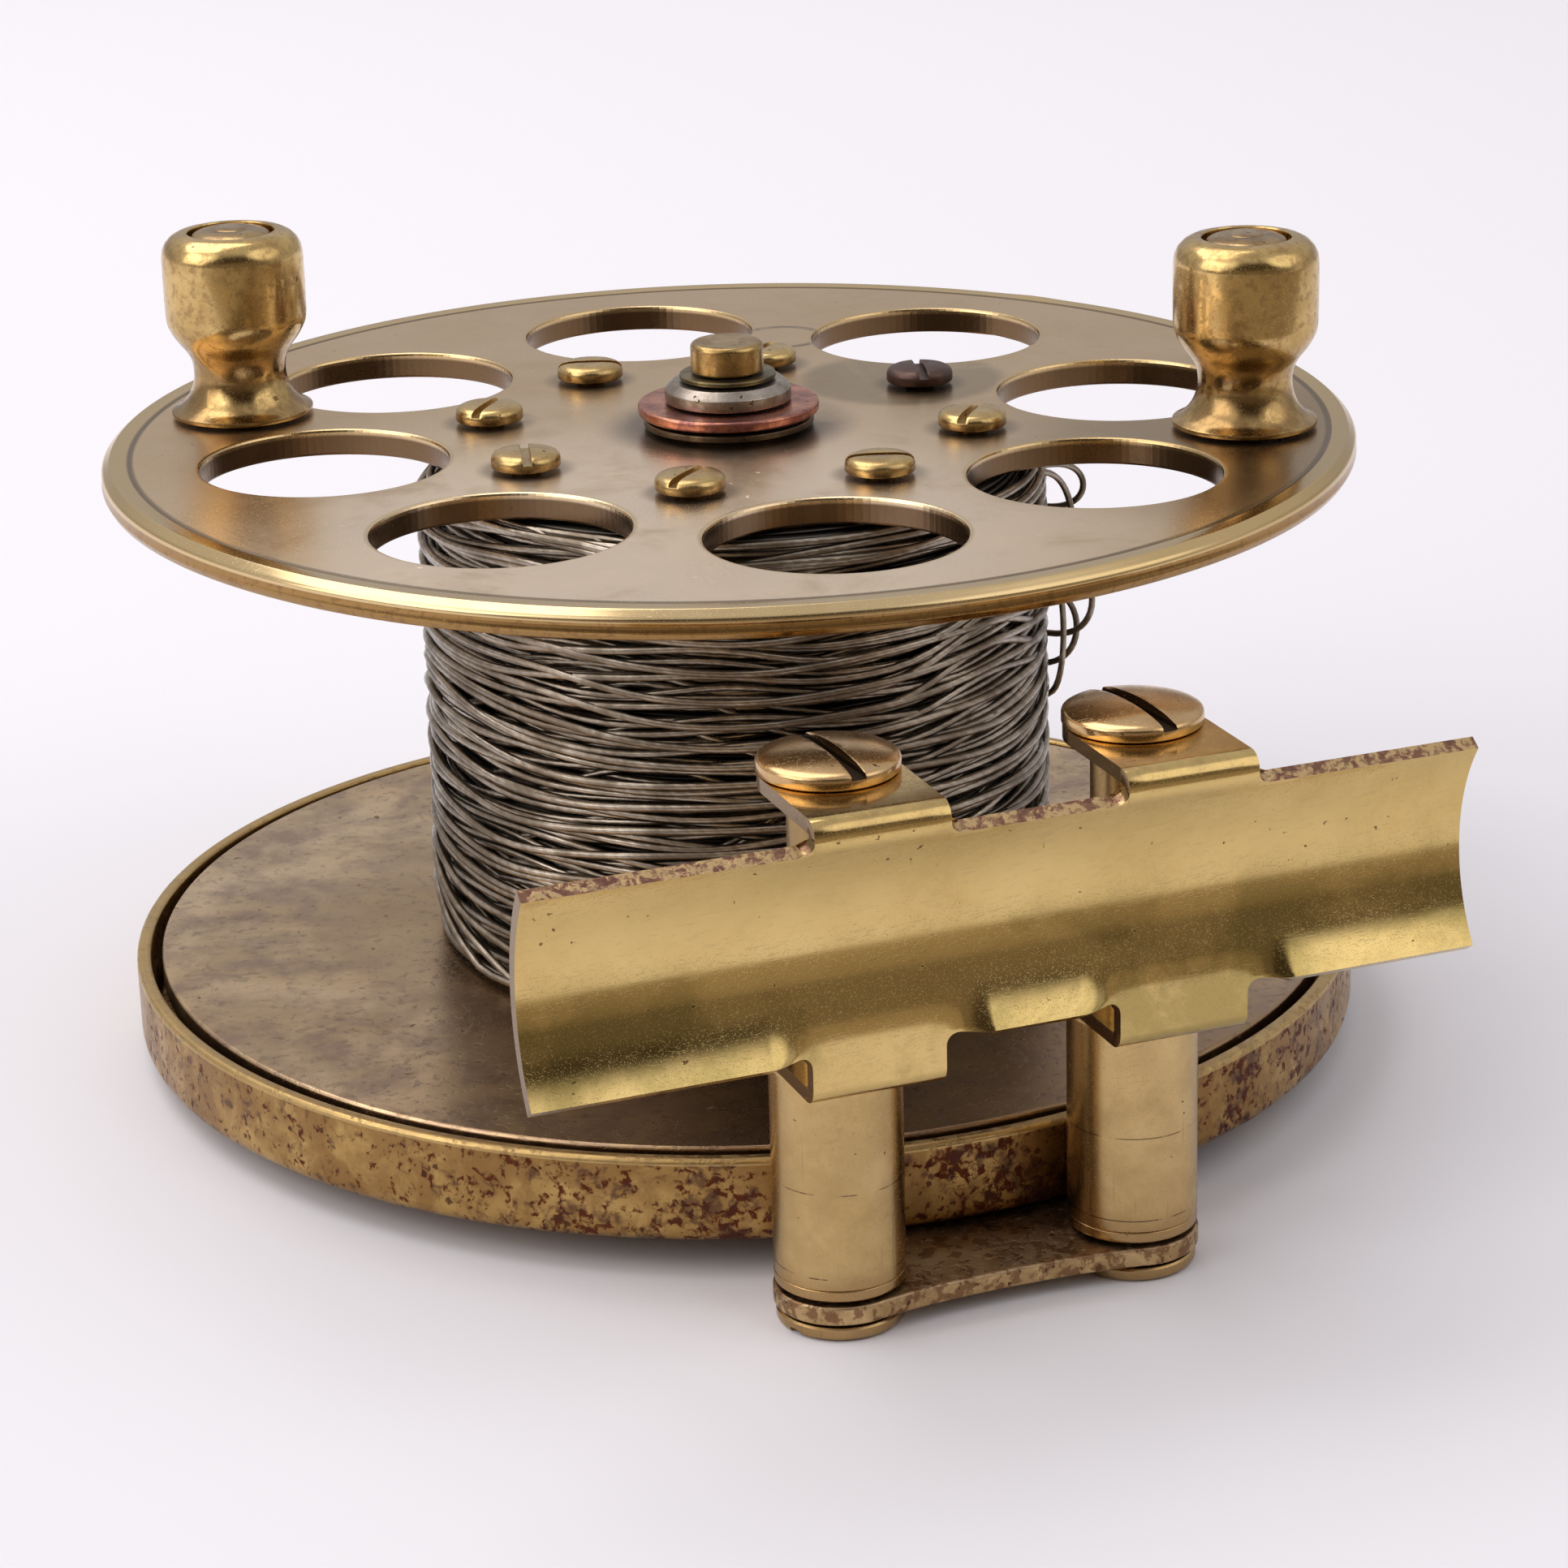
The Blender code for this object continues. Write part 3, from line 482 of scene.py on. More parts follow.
left_foot, right_foot = pillar_places
foot_middle = (left_foot[0] + right_foot[0]) / 2
waist = left_foot[1] - 3.9
bracket_line = arc(left_foot, 5.0, 115, 288, 28)
bracket_line += [(left_foot[0] + 4.0, waist - 0.45), (left_foot[0] + 7.0, waist - 0.15), (foot_middle, waist)]
bracket_line += [(right_foot[0] - 7.0, waist - 0.15), (right_foot[0] - 4.0, waist - 0.45)]
bracket_line += arc(right_foot, 5.0, -108, 65, 28)
bracket_line += arc((5.0, -41.0), 5.5, 0, 50, 6) + arc((foot_middle, -32.0), 5.5, 40, 140, 12)
bracket_line += arc((-9.0, -41.0), 5.5, 130, 180, 6)
_, bracket_low, bracket_high = node_span("foot_bracket")
bracket = settle(plate("foot_bracket_plate", bracket_line, bracket_low, bracket_high, 0.22))


def bracket_wear(tree, place, colour, roughness, height):
    """The plate's top is painted a duller brown as shade under the pan; its edge is rough and freckled red
    and brown.
    """
    split = add(tree, "SeparateXYZ", Vector=place).node.outputs
    # Painted shade: the plate's top face is darkened where it lies under the pan.
    top = ramp(tree, split[2], -0.00056, -0.00040, 0.0, 0.85)
    colour = blend(tree, top, colour, (0.40, 0.28, 0.17))
    rust = clouds(tree, place, 0.0010, 0.42, 0.04)
    colour = wash(tree, colour, (0.20, 0.10, 0.05), rust, 0.8)
    height = maths(tree, "MULTIPLY_ADD", rust, -0.9, height)
    return colour, roughness, height


bracket.data.materials.append(metal(
    "Bracket brass", (0.62, 0.44, 0.22), (0.40, 0.26, 0.12), (0.14, 0.07, 0.04),
    cloud=(0.003, 0.6, 0.14), pits=(0.0007, 0.45, 0.45), rough=(0.30, 0.48),
    dents=0.6, more=bracket_wear,
))
fit(bracket, "frame", "foot_bracket")


def geometry_tree(name, inputs):
    """Start a geometry node tree with named inputs: (name, kind, value)."""
    tree = bpy.data.node_groups.new(name, "GeometryNodeTree")
    tree.interface.new_socket("Geometry", in_out="INPUT", socket_type="NodeSocketGeometry")
    for label, kind, value in inputs:
        socket = tree.interface.new_socket(label, in_out="INPUT", socket_type="NodeSocket" + kind)
        if value is not None:
            socket.default_value = value
    tree.interface.new_socket("Geometry", in_out="OUTPUT", socket_type="NodeSocketGeometry")
    return tree, tree.nodes.new("NodeGroupInput").outputs, tree.nodes.new("NodeGroupOutput").inputs


def run_tree(piece, tree, values):
    """Run a geometry tree on a piece with these inputs, and keep the result as a plain mesh."""
    modifier = piece.modifiers.new(tree.name, "NODES")
    modifier.node_group = tree
    for item in tree.interface.items_tree:
        if item.in_out == "INPUT" and item.name in values:
            modifier[item.identifier] = values[item.name]
    return flatten(piece)


def row_tree():
    """Set copies of a piece at the corners of a mesh circle, turned by four angles that repeat."""
    inputs = [("Count", "Int", 8), ("Pitch radius", "Float", 0.02), ("First angle", "Float", 0.0)]
    inputs += [("Height", "Float", 0.0)] + [(f"Turn {number}", "Float", 0.0) for number in range(1, 5)]
    inputs += [("Finish", "Material", None)]
    tree, given, result = geometry_tree("Ring of pieces", inputs)
    circle = add(tree, "GeometryNodeMeshCircle", Vertices=given["Count"], Radius=given["Pitch radius"])
    angle = add(tree, "CombineXYZ", Z=given["First angle"])
    lift = add(tree, "CombineXYZ", Z=given["Height"])
    ring = add(tree, "GeometryNodeTransform", Geometry=circle, Rotation=angle, Translation=lift)
    turn = tree.nodes.new("GeometryNodeIndexSwitch")
    turn.data_type = "FLOAT"
    turn.index_switch_items.new()
    turn.index_switch_items.new()
    at = maths(tree, "MODULO", add(tree, "GeometryNodeInputIndex"), 4.0)
    tree.links.new(at, turn.inputs["Index"])
    for number in range(4):
        tree.links.new(given[f"Turn {number + 1}"], turn.inputs[number + 1])
    spin = add(tree, "CombineXYZ", Z=turn.outputs[0])
    copies = add(tree, "GeometryNodeInstanceOnPoints", Points=ring, Instance=given["Geometry"],
                 Rotation=spin)
    solid = add(tree, "GeometryNodeRealizeInstances", Geometry=copies)
    finished = add(tree, "GeometryNodeSetMaterial", Geometry=solid, Material=given["Finish"])
    tree.links.new(finished, result["Geometry"])
    return tree


RING_OF_PIECES = row_tree()
rivet_brass = metal("Rivet brass", (0.60, 0.42, 0.19), (0.28, 0.17, 0.08), (0.10, 0.05, 0.03),
                    cloud=(0.002, 0.5, 0.14), pits=(0.0006, 0.3, 0.5), rough=(0.28, 0.45))
for number in (1, 2, 3):
    centre, foot, crown = node_span(f"bracket_rivet_{number}")
    outline = [(0.0, crown), (1.2, crown - 0.05), (1.9, crown - 0.3), (2.2, 1.5), (1.3, 1.5), (1.3, -2.1)]
    outline += [(2.6, -2.1), (2.45, -2.45), (1.9, foot + 0.25), (1.0, foot + 0.04), (0.0, foot)]
    rivet = settle(turned(f"rivet_{number}", outline, 40, centre, ring=False))
    rivet.data.materials.append(rivet_brass)
    fit(rivet, "frame", f"bracket_rivet_{number}")


# ------------------------------------------------------------------------------------------------
# The two pillars.  Turned brass rods about 10 mm thick, with a fine line cut near the foot and a
# shoulder that the lower ears of the saddle sit on.  A thinner stem carries on up to the upper ears.
# They show long upright scratches and a satin drawn surface.
def pillar_wear(tree, place, colour, roughness, height):
    """A few fine marks, soft staining, a brown band at the foot, and thin broken lines round the barrel."""
    upright = (0.0, pi / 2, 0.0)
    marks = use(tree, HAIRLINES, Place=place, Turn=upright, Width=0.00028, Length=0.010, Share=0.22)
    colour = wash(tree, colour, (0.22, 0.14, 0.065), marks, 0.45)
    stain = clouds(tree, place, 0.005, 0.5, 0.14)
    colour = wash(tree, colour, (0.38, 0.25, 0.11), stain, 0.35)
    rise = add(tree, "SeparateXYZ", Vector=place).node.outputs[2]
    foot = ramp(tree, rise, 0.0030, 0.0006, 0.0, 0.5)
    colour = blend(tree, foot, colour, (0.30, 0.17, 0.08))
    patchy = clouds(tree, place, 0.004, 0.5, 0.05)
    for level, share in ((0.0086, 0.8), (0.0019, 0.9)):
        line = maths(tree, "COMPARE", rise, level, 0.00005)
        colour = wash(tree, colour, (0.12, 0.07, 0.04), line, patchy, share)
    stem = ramp(tree, rise, 0.0176, 0.0180, 0.0, 0.6)
    colour = blend(tree, stem, colour, (0.24, 0.15, 0.07))
    height = maths(tree, "MULTIPLY_ADD", marks, -0.3, height)
    return colour, roughness, height


pillar_brass = metal("Pillar brass", (0.62, 0.44, 0.20), (0.53, 0.36, 0.15), (0.14, 0.08, 0.04),
                     cloud=(0.006, 0.5, 0.16), pits=(0.0012, 0.12, 0.25), rough=(0.22, 0.30), scratch=0.25,
                     dents=0.16, more=pillar_wear)
for side in ("left", "right"):
    centre, _, crown = node_span("pillar_" + side)
    outline = rounded([
        (2.0, crown), (3.1, crown, 0.2), (3.1, 17.5, 0.1), (4.9, 17.5, 0.3), (4.9, 1.02, 0.05),
        (4.8, 0.94), (4.9, 0.86, 0.05), (4.9, 0.0, 0.3), (2.0, 0.0), (2.0, 9.0), (0.0, 9.6),
    ])
    pillar = settle(turned(f"pillar_{side}_turned", [(0.0, crown)] + outline, 72, centre, ring=False))
    pillar.data.materials.append(pillar_brass)
    fit(pillar, "frame", "pillar_" + side)


# ------------------------------------------------------------------------------------------------
# The four foot screws.  Two broad slotted screws with low domed heads clamp the saddle's upper ears
# to the stems.  Two flatter ones come up through the bracket into the pillars.
def slotted(name, outline, steps, centre, slot):
    """A turned screw with a slot cut across its head: slot is (width, bottom, top, turn), in mm."""
    screw = turned(name, outline, steps, centre, ring=False)
    width, bottom, top, turn = slot
    mesh = bpy.data.meshes.new(name + "_slot")
    work = bmesh.new()
    bmesh.ops.create_cube(work, size=1.0)
    bmesh.ops.scale(work, vec=Vector((30.0, width, top - bottom)) * MM, verts=work.verts)
    work.to_mesh(mesh)
    work.free()
    cutter = mesh_object(name + "_slot", mesh)
    middle = Vector((centre[0], centre[1], (top + bottom) / 2)) * MM
    cutter.matrix_world = Matrix.Translation(middle) @ Matrix.Rotation(turn, 4, "Z")
    cut_away(screw, cutter)
    soften(screw, 0.07, 2)
    settle(screw)
    bpy.data.objects.remove(cutter, do_unlink=True)
    return screw


def slot_darkening(centre, turn, width, bottom, top):
    """Paint the inside of a screw's slot nearly black, with its sizes in mm."""
    def layer(tree, place, colour, roughness, height):
        middle = (centre[0] * MM, centre[1] * MM, 0.0)
        moved = add(tree, "VectorMath", {"operation": "SUBTRACT"}, i0=place, i1=middle)
        spun = add(tree, "VectorRotate", {"rotation_type": "Z_AXIS"}, Vector=moved, Angle=-turn)
        across = add(tree, "SeparateXYZ", Vector=spun).node.outputs
        inside = maths(tree, "LESS_THAN", maths(tree, "ABSOLUTE", across[1]), width * MM / 2 * 1.04)
        under_top = maths(tree, "LESS_THAN", across[2], top * MM)
        deep = maths(tree, "MULTIPLY", under_top, maths(tree, "GREATER_THAN", across[2], bottom * MM))
        # The inside of the slot is painted nearly black.
        grime = maths(tree, "MULTIPLY", inside, deep)
        colour = blend(tree, grime, colour, (0.035, 0.022, 0.014))
        roughness = maths(tree, "MULTIPLY_ADD", grime, 0.4, roughness, clamp=True)
        return colour, roughness, height
    return layer


SLOT = 1.1
for side, centre, turn in zip(("left", "right"), pillar_places, (radians(-87), radians(-84))):
    _, _, top = node_span("foot_screw_" + side)
    seat = top - 1.75
    outline = [(0.0, top), (1.2, top - 0.03), (2.4, top - 0.12), (3.6, top - 0.28), (4.5, top - 0.48)]
    outline += [(4.95, top - 0.62), (5.13, top - 0.74), (5.2, top - 0.92), (5.2, seat + 0.2)]
    outline += [(5.12, seat + 0.06), (5.0, seat), (1.7, seat), (1.7, seat - 7.0), (0.0, seat - 7.0)]
    slot = (SLOT, top - 0.95, top + 3.0, turn)
    screw = slotted(f"foot_screw_{side}_turned", outline, 96, centre, slot)
    darkened_slot = slot_darkening(centre, turn, SLOT, top - 1.0, top - 0.62)
    screw.data.materials.append(metal(
        f"Foot screw brass {side}", (0.68, 0.46, 0.23), (0.52, 0.32, 0.14), (0.14, 0.08, 0.05),
        cloud=(0.005, 0.5, 0.2), pits=(0.0010, 0.12, 0.25), rough=(0.17, 0.26), scratch=0.3, dents=0.08,
        more=darkened_slot))
    fit(screw, "frame", "foot_screw_" + side)
    _, low, high = node_span("pillar_screw_" + side)
    outline = [(0.0, high), (1.7, high), (1.7, -2.1), (4.65, -2.1), (4.8, -2.25), (4.8, low + 0.4)]
    outline += [(4.7, low + 0.2), (4.45, low + 0.05), (4.1, low), (0.0, low)]
    slot = (1.0, low - 3.0, low + 0.5, 0.4)
    screw = slotted(f"pillar_screw_{side}_turned", outline, 72, centre, slot)
    screw.data.materials.append(pillar_brass)
    fit(screw, "frame", "pillar_screw_" + side)


# ------------------------------------------------------------------------------------------------
# The saddle foot.  One piece of 1.1 mm sheet brass pressed to a trough for the rod, polished inside,
# with four ears folded back over the pillar stems.  The sawn top edge has kept its purple tarnish,
# and the trough is freckled with small dark pits and rubbed by rings.
saddle_ends = [corner[0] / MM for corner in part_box("saddle_foot")]
TROUGH = {"radius": 13.5, "face": -63.4, "bottom": 21.8, "top": 37.2, "turn_out": 0.55}
SHEET = 1.1
EAR = {"width": 10.2, "bend": 1.3, "ease": 1.7, "pull": 3.4, "low": 17.8, "high": 39.6}
LEAN = asin((TROUGH["top"] - TROUGH["bottom"]) / 2 / TROUGH["radius"])
ROOT = EAR["ease"] * LEAN


def drawn_flat(level):
    """The face's place at a height on the flattened part above a lower ear."""
    start = radians(18)
    top = (TROUGH["top"] + TROUGH["bottom"]) / 2 - TROUGH["radius"] * sin(start)
    run = top - TROUGH["bottom"]
    share = (top - level) / run
    slope = run * tan(start)
    out = (share ** 3 - 2 * share ** 2 + share) * slope
    out += (3 * share ** 2 - 2 * share ** 3) * TROUGH["turn_out"]
    return TROUGH["face"] - TROUGH["radius"] * (1 - cos(start)) - out


def trough_line(pull):
    """The trough's face from its lower edge to its upper one; pull draws the lowest part flat."""
    middle = (TROUGH["top"] + TROUGH["bottom"]) / 2
    line = []
    for cut in range(37):
        angle = -LEAN + 2 * LEAN * cut / 36
        across = TROUGH["face"] - TROUGH["radius"] * (1 - cos(angle))
        level = middle + TROUGH["radius"] * sin(angle)
        if angle < -radians(18):
            across += pull * (drawn_flat(level) - across)
        line.append((across, level))
    return line


def pull_at(x):
    """How much the trough is drawn flat at a place along it."""
    pull = 0.0
    for place in pillar_places:
        share = min(max((EAR["width"] / 2 + EAR["pull"] - abs(x - place[0])) / EAR["pull"], 0.0), 1.0)
        pull = max(pull, share * share * (3 - 2 * share))
    return pull


def ear_line(start, lean, way):
    """An ear's outer face from the trough's edge: eased upright, round its fold, and back over the stem."""
    level = EAR["high"] if way > 0 else EAR["low"]
    across, up = start
    line = []
    for cut in range(1, 6):
        if lean > 0.0:
            angle = lean * (1 - cut / 5)
            line.append((across + EAR["ease"] * (cos(lean) - cos(angle)),
                         up + way * EAR["ease"] * (sin(lean) - sin(angle))))
        else:
            line.append((across, up + way * ROOT * cut / 5))
    across = line[-1][0]
    for cut in range(11):
        angle = pi / 2 * cut / 10
        line.append((across + EAR["bend"] * (1 - cos(angle)), level - way * EAR["bend"] * (1 - sin(angle))))
    line.append((line[-1][0] + 0.3, level))
    line.append((left_foot[1], level))
    return line


def point_along(line, reach):
    """The point a distance along a line of points."""
    for first, second in zip(line, line[1:]):
        part = (Vector(second) - Vector(first)).length
        if reach <= part:
            return Vector(first).lerp(Vector(second), reach / part)
        reach -= part
    return Vector(line[-1])


def ear_faces(work, place, columns, rows, way):
    """One ear, grown from the trough's edge round to its half-round tip; gives back its line and sides."""
    half = EAR["width"] / 2
    edge = [column[rows] for column in columns]
    start = (edge[0].co.y / MM, edge[0].co.z / MM)
    path = ear_line(start, LEAN if way > 0 else 0.0, way)
    previous = edge
    sides = []
    for y, z in path:
        here = [work.verts.new(Vector((vertex.co.x / MM, y, z)) * MM) for vertex in edge]
        for i in range(len(edge) - 1):
            work.faces.new((previous[i], previous[i + 1], here[i + 1], here[i]))
        sides.append((here[0], here[-1]))
        previous = here
    round_end = arc((place[0], left_foot[1]), half, 0, 180, 28)[1:-1]
    tip = [work.verts.new(Vector((x, y, path[-1][1])) * MM) for x, y in round_end]
    work.faces.new(previous + tip)
    return [start] + path, sides


def saddle_mesh():
    """The whole front face as one sheet of joined faces."""
    half = EAR["width"] / 2
    stops = {saddle_ends[0], saddle_ends[1], foot_middle}
    stops.update(saddle_ends[0] + 4.0 * part for part in range(1, 4))
    stops.update(saddle_ends[1] - 4.0 * part for part in range(1, 5))
    for place in pillar_places:
        offsets = [0.0, half * 0.35, half * 0.7, half, half + ROOT]
        offsets += [half + ROOT + (EAR["pull"] - ROOT) * part / 6 for part in range(1, 7)]
        for offset in offsets:
            stops.update((round(place[0] - offset, 6), round(place[0] + offset, 6)))
    stops = sorted(stops)
    work = bmesh.new()
    grid = [[work.verts.new(Vector((x, y, z)) * MM) for y, z in trough_line(pull_at(x))] for x in stops]
    for first, second in zip(grid, grid[1:]):
        for i in range(len(first) - 1):
            work.faces.new((first[i], second[i], second[i + 1], first[i + 1]))
    for place in pillar_places:
        spots = [i for i, x in enumerate(stops) if abs(x - place[0]) <= half + 0.001]
        for way, row in ((1, -1), (-1, 0)):
            path, sides = ear_faces(work, place, [grid[i] for i in spots], row, way)
            for end, beside, column in ((0, spots[0] - 1, 0), (1, spots[-1] + 1, -1)):
                corner = grid[spots[column]][row]
                foot = grid[beside][row]
                out = -1 if end == 0 else 1
                rise = [foot]
                for cut in range(1, 6):
                    angle = pi / 2 * cut / 6
                    x = place[0] + out * (half + ROOT * (1 - sin(angle)))
                    blend_in = foot.co.y / MM + (corner.co.y - foot.co.y) / MM * sin(angle)
                    spot = point_along(path, ROOT * (1 - cos(angle)))
                    y = spot.x + (blend_in - corner.co.y / MM) * cos(angle)
                    rise.append(work.verts.new(Vector((x, y, spot.y)) * MM))
                column_side = [pair[end] for pair in sides[:5]]
                work.faces.new([corner] + rise + column_side[::-1])
    bmesh.ops.recalc_face_normals(work, faces=work.faces)
    front = min(work.faces, key=lambda face: abs(face.calc_center_median().z - 29.5 * MM))
    if front.normal.y > 0:
        bmesh.ops.reverse_faces(work, faces=work.faces)
    mesh = bpy.data.meshes.new("saddle")
    work.to_mesh(mesh)
    work.free()
    return mesh


def saddle_wear(tree, place, colour, roughness, height):
    """Mottled sawn edges, brown clouds that grow heavier low in the trough, specks, rubbing along the rod,
    and the sawn ends painted dark as shade.
    """
    split = add(tree, "SeparateXYZ", Vector=place).node.outputs
    facing = add(tree, "SeparateXYZ", Vector=add(tree, "NewGeometry", output="Normal")).node.outputs
    above = maths(tree, "GREATER_THAN", split[2], 0.0366)
    edge = maths(tree, "MULTIPLY", above, maths(tree, "GREATER_THAN", facing[2], 0.5))
    edge = maths(tree, "MULTIPLY", edge, maths(tree, "LESS_THAN", split[2], 0.0382))
    patch = clouds(tree, place, 0.0010, 0.50, 0.05)
    grain = clouds(tree, place, 0.0005, 0.42, 0.06)
    colour = wash(tree, colour, (0.58, 0.39, 0.22), edge, 0.7)
    colour = wash(tree, colour, (0.22, 0.10, 0.075), edge, patch, 0.9)
    colour = wash(tree, colour, (0.16, 0.07, 0.06), edge, grain, 0.7)
    roughness = maths(tree, "MULTIPLY_ADD", edge, 0.22, roughness, clamp=True)
    height = maths(tree, "MULTIPLY_ADD", maths(tree, "MULTIPLY", edge, patch), -1.2, height)
    folds = ramp(tree, split[2], 0.0381, 0.0390, 0.0, 0.7)
    stain = clouds(tree, place, 0.0022, 0.45, 0.16)
    colour = wash(tree, colour, (0.38, 0.22, 0.12), folds, stain, 0.6)
    brown = clouds(tree, place, 0.011, 0.42, 0.08)
    # Brown clouds, heavier towards the bottom of the trough.
    lower = ramp(tree, split[2], 0.0312, 0.0262, 0.10, 0.75)
    colour = wash(tree, colour, (0.36, 0.27, 0.09), brown, lower)
    rubbed = use(tree, HAIRLINES, Place=place, Turn=(0.0, 0.05, 0.12), Width=0.00016, Length=0.012,
                 Share=0.42)
    colour = wash(tree, colour, (0.50, 0.37, 0.17), rubbed, 0.34)
    height = maths(tree, "MULTIPLY_ADD", rubbed, -0.06, height)
    cloudy = clouds(tree, place, 0.007, 0.5, 0.1)
    many = maths(tree, "MULTIPLY_ADD", cloudy, 0.45, 0.35)
    specks = use(tree, PITTING, Place=place, Spacing=0.0012, Share=many, Radius=0.14)
    colour = wash(tree, colour, (0.15, 0.08, 0.035), specks, 0.85)
    height = maths(tree, "MULTIPLY_ADD", specks, -0.8, height)
    # Painted shade: the sawn end faces are darkened.
    ends = maths(tree, "GREATER_THAN", maths(tree, "ABSOLUTE", facing[0]), 0.75)
    colour = wash(tree, colour, (0.19, 0.115, 0.05), ends, 0.9)
    return colour, roughness, height


saddle = mesh_object("saddle_foot_pressed", saddle_mesh())
wall = saddle.modifiers.new("sheet", "SOLIDIFY")
wall.thickness = SHEET * MM
wall.offset = -1.0
wall.use_even_offset = True
soften(saddle, 0.3, 3)
settle(saddle)
saddle.data.materials.append(metal(
    "Saddle brass", (0.72, 0.52, 0.21), (0.63, 0.44, 0.165), (0.18, 0.10, 0.045),
    cloud=(0.010, 0.45, 0.2), pits=(0.0011, 0.05, 0.22), rough=(0.11, 0.18),
    scratch=0.32, dents=0.06, more=saddle_wear,
))
fit(saddle, "frame", "saddle_foot")


# ------------------------------------------------------------------------------------------------
# The spindle and what is screwed on its end.  The spool turns on a fixed steel spindle, and is kept
# on by a copper friction washer, a round nickelled nut, a thin brass washer gone dark, and a brass cap.
def bare_metal(name, clean, dull, roughness):
    """A plain worn metal for small and hidden pieces."""
    return metal(name, clean, dull, tuple(part * 0.4 for part in dull), cloud=(0.003, 0.5, 0.16),
                 pits=(0.0007, 0.2, 0.4), rough=(roughness, roughness + 0.15))


def dress(node, finish):
    """Give a plain solid that is kept its finish."""
    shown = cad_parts[node]
    if not shown.material_slots:
        shown.data.materials.append(finish)
    for slot in shown.material_slots:
        slot.material = finish


dress("spindle", bare_metal("Spindle steel", (0.48, 0.46, 0.43), (0.26, 0.22, 0.18), 0.25))

BORE = 2.2
_, low, high = node_span("copper_washer")
copper_washer = [(7.45, high, 0.25), (7.45, low, 0.3), (BORE, low), (BORE, high)]
_, low, high = node_span("clamp_nut")
clamp_nut = [(4.5, high, 0.1), (5.2, high - 0.65, 0.15), (5.2, low, 0.1), (BORE, low), (BORE, high)]
_, low, high = node_span("brass_washer")
brass_washer = [(3.95, high, 0.12), (3.95, low, 0.1), (BORE, low), (BORE, high)]
_, low, high = node_span("end_cap")
end_cap = [(0.0, high), (3.0, high, 0.45), (3.0, low, 0.1), (BORE, low), (BORE, low + 1.5), (0.0, low + 1.6)]
copper = metal("Washer copper", (0.66, 0.27, 0.16), (0.22, 0.085, 0.085), (0.08, 0.035, 0.035),
               cloud=(0.003, 0.6, 0.12), pits=(0.0008, 0.2, 0.4), rough=(0.22, 0.36))
nickel = metal("Nut nickel", (0.40, 0.345, 0.30), (0.22, 0.175, 0.13), (0.09, 0.06, 0.04),
               cloud=(0.002, 0.5, 0.15), pits=(0.0008, 0.25, 0.4), rough=(0.25, 0.4), rings=0.3)
dark_brass = metal("Dark washer brass", (0.24, 0.19, 0.09), (0.10, 0.08, 0.05), (0.05, 0.04, 0.03),
                   cloud=(0.002, 0.6, 0.15), pits=(0.0008, 0.25, 0.4), rough=(0.3, 0.45))
cap_brass = metal("Cap brass", (0.52, 0.35, 0.14), (0.26, 0.155, 0.06), (0.10, 0.06, 0.03),
                  cloud=(0.002, 0.5, 0.15), pits=(0.0008, 0.15, 0.4), rough=(0.2, 0.35), rings=0.3)
for node, outline, steps, finish in (
        ("copper_washer", copper_washer, 96, copper), ("clamp_nut", clamp_nut, 96, nickel),
        ("brass_washer", brass_washer, 72, dark_brass), ("end_cap", end_cap, 72, cap_brass)):
    bored = outline[0][0] > 0.0
    piece = settle(turned(node + "_turned", rounded(outline, closed=bored), steps, ring=bored))
    piece.data.materials.append(finish)
    fit(piece, "frame", node)


# ------------------------------------------------------------------------------------------------
# The spool's flanges.  Two turned brass discs.  The front one is pierced by eight round windows and
# keeps the lathe's rings, a rounded bright rim and a line cut just inside it.  The rear one is plain,
# sits inside the pan, and is mottled brown and olive.
_, under, face = node_span("front_flange")
FLANGE_R = 51.3
HUB_HOLE = 6.1
WINDOW = {"count": 8, "radius": 10.05, "pitch": 33.6, "first": -96.8}
SCREWS = {"count": 8, "pitch": 20.1, "first": WINDOW["first"] + 22.5}
NICK = {"at": radians(-144.3), "width": radians(2.2), "deep": 0.35}
flange_outline = rounded([
    (FLANGE_R - 2.05, face), (FLANGE_R - 0.75, face + 0.05, 0.15), (FLANGE_R, face - 0.6, 0.5),
    (FLANGE_R - 0.1, face - 1.15), (FLANGE_R, under + 0.55, 0.3), (FLANGE_R - 0.3, under, 0.2),
    (HUB_HOLE, under), (HUB_HOLE, face), (FLANGE_R - 2.6, face),
    (FLANGE_R - 2.42, face - 0.09), (FLANGE_R - 2.22, face - 0.09),
], closed=True)
flange = turned("front_flange_turned", flange_outline, 240)
for vertex in flange.data.vertices:
    reach = Vector(vertex.co[:2]).length / MM
    if reach > FLANGE_R - 2.1:
        turn = Vector((vertex.co.y, -vertex.co.x)).angle_signed(Vector((0.0, 1.0)))
        nick = 2.718 ** -((turn - NICK["at"]) / NICK["width"]) ** 2
        share = (reach - FLANGE_R + 2.1) / 2.1
        inward = 1 - (NICK["deep"] * nick * share + 0.05 * share * sin(5 * turn)) / reach
        vertex.co.x *= inward
        vertex.co.y *= inward
        vertex.co.z += (0.6 * NICK["deep"] * nick + 0.04 * sin(3 * turn + 1.0)) * share * MM


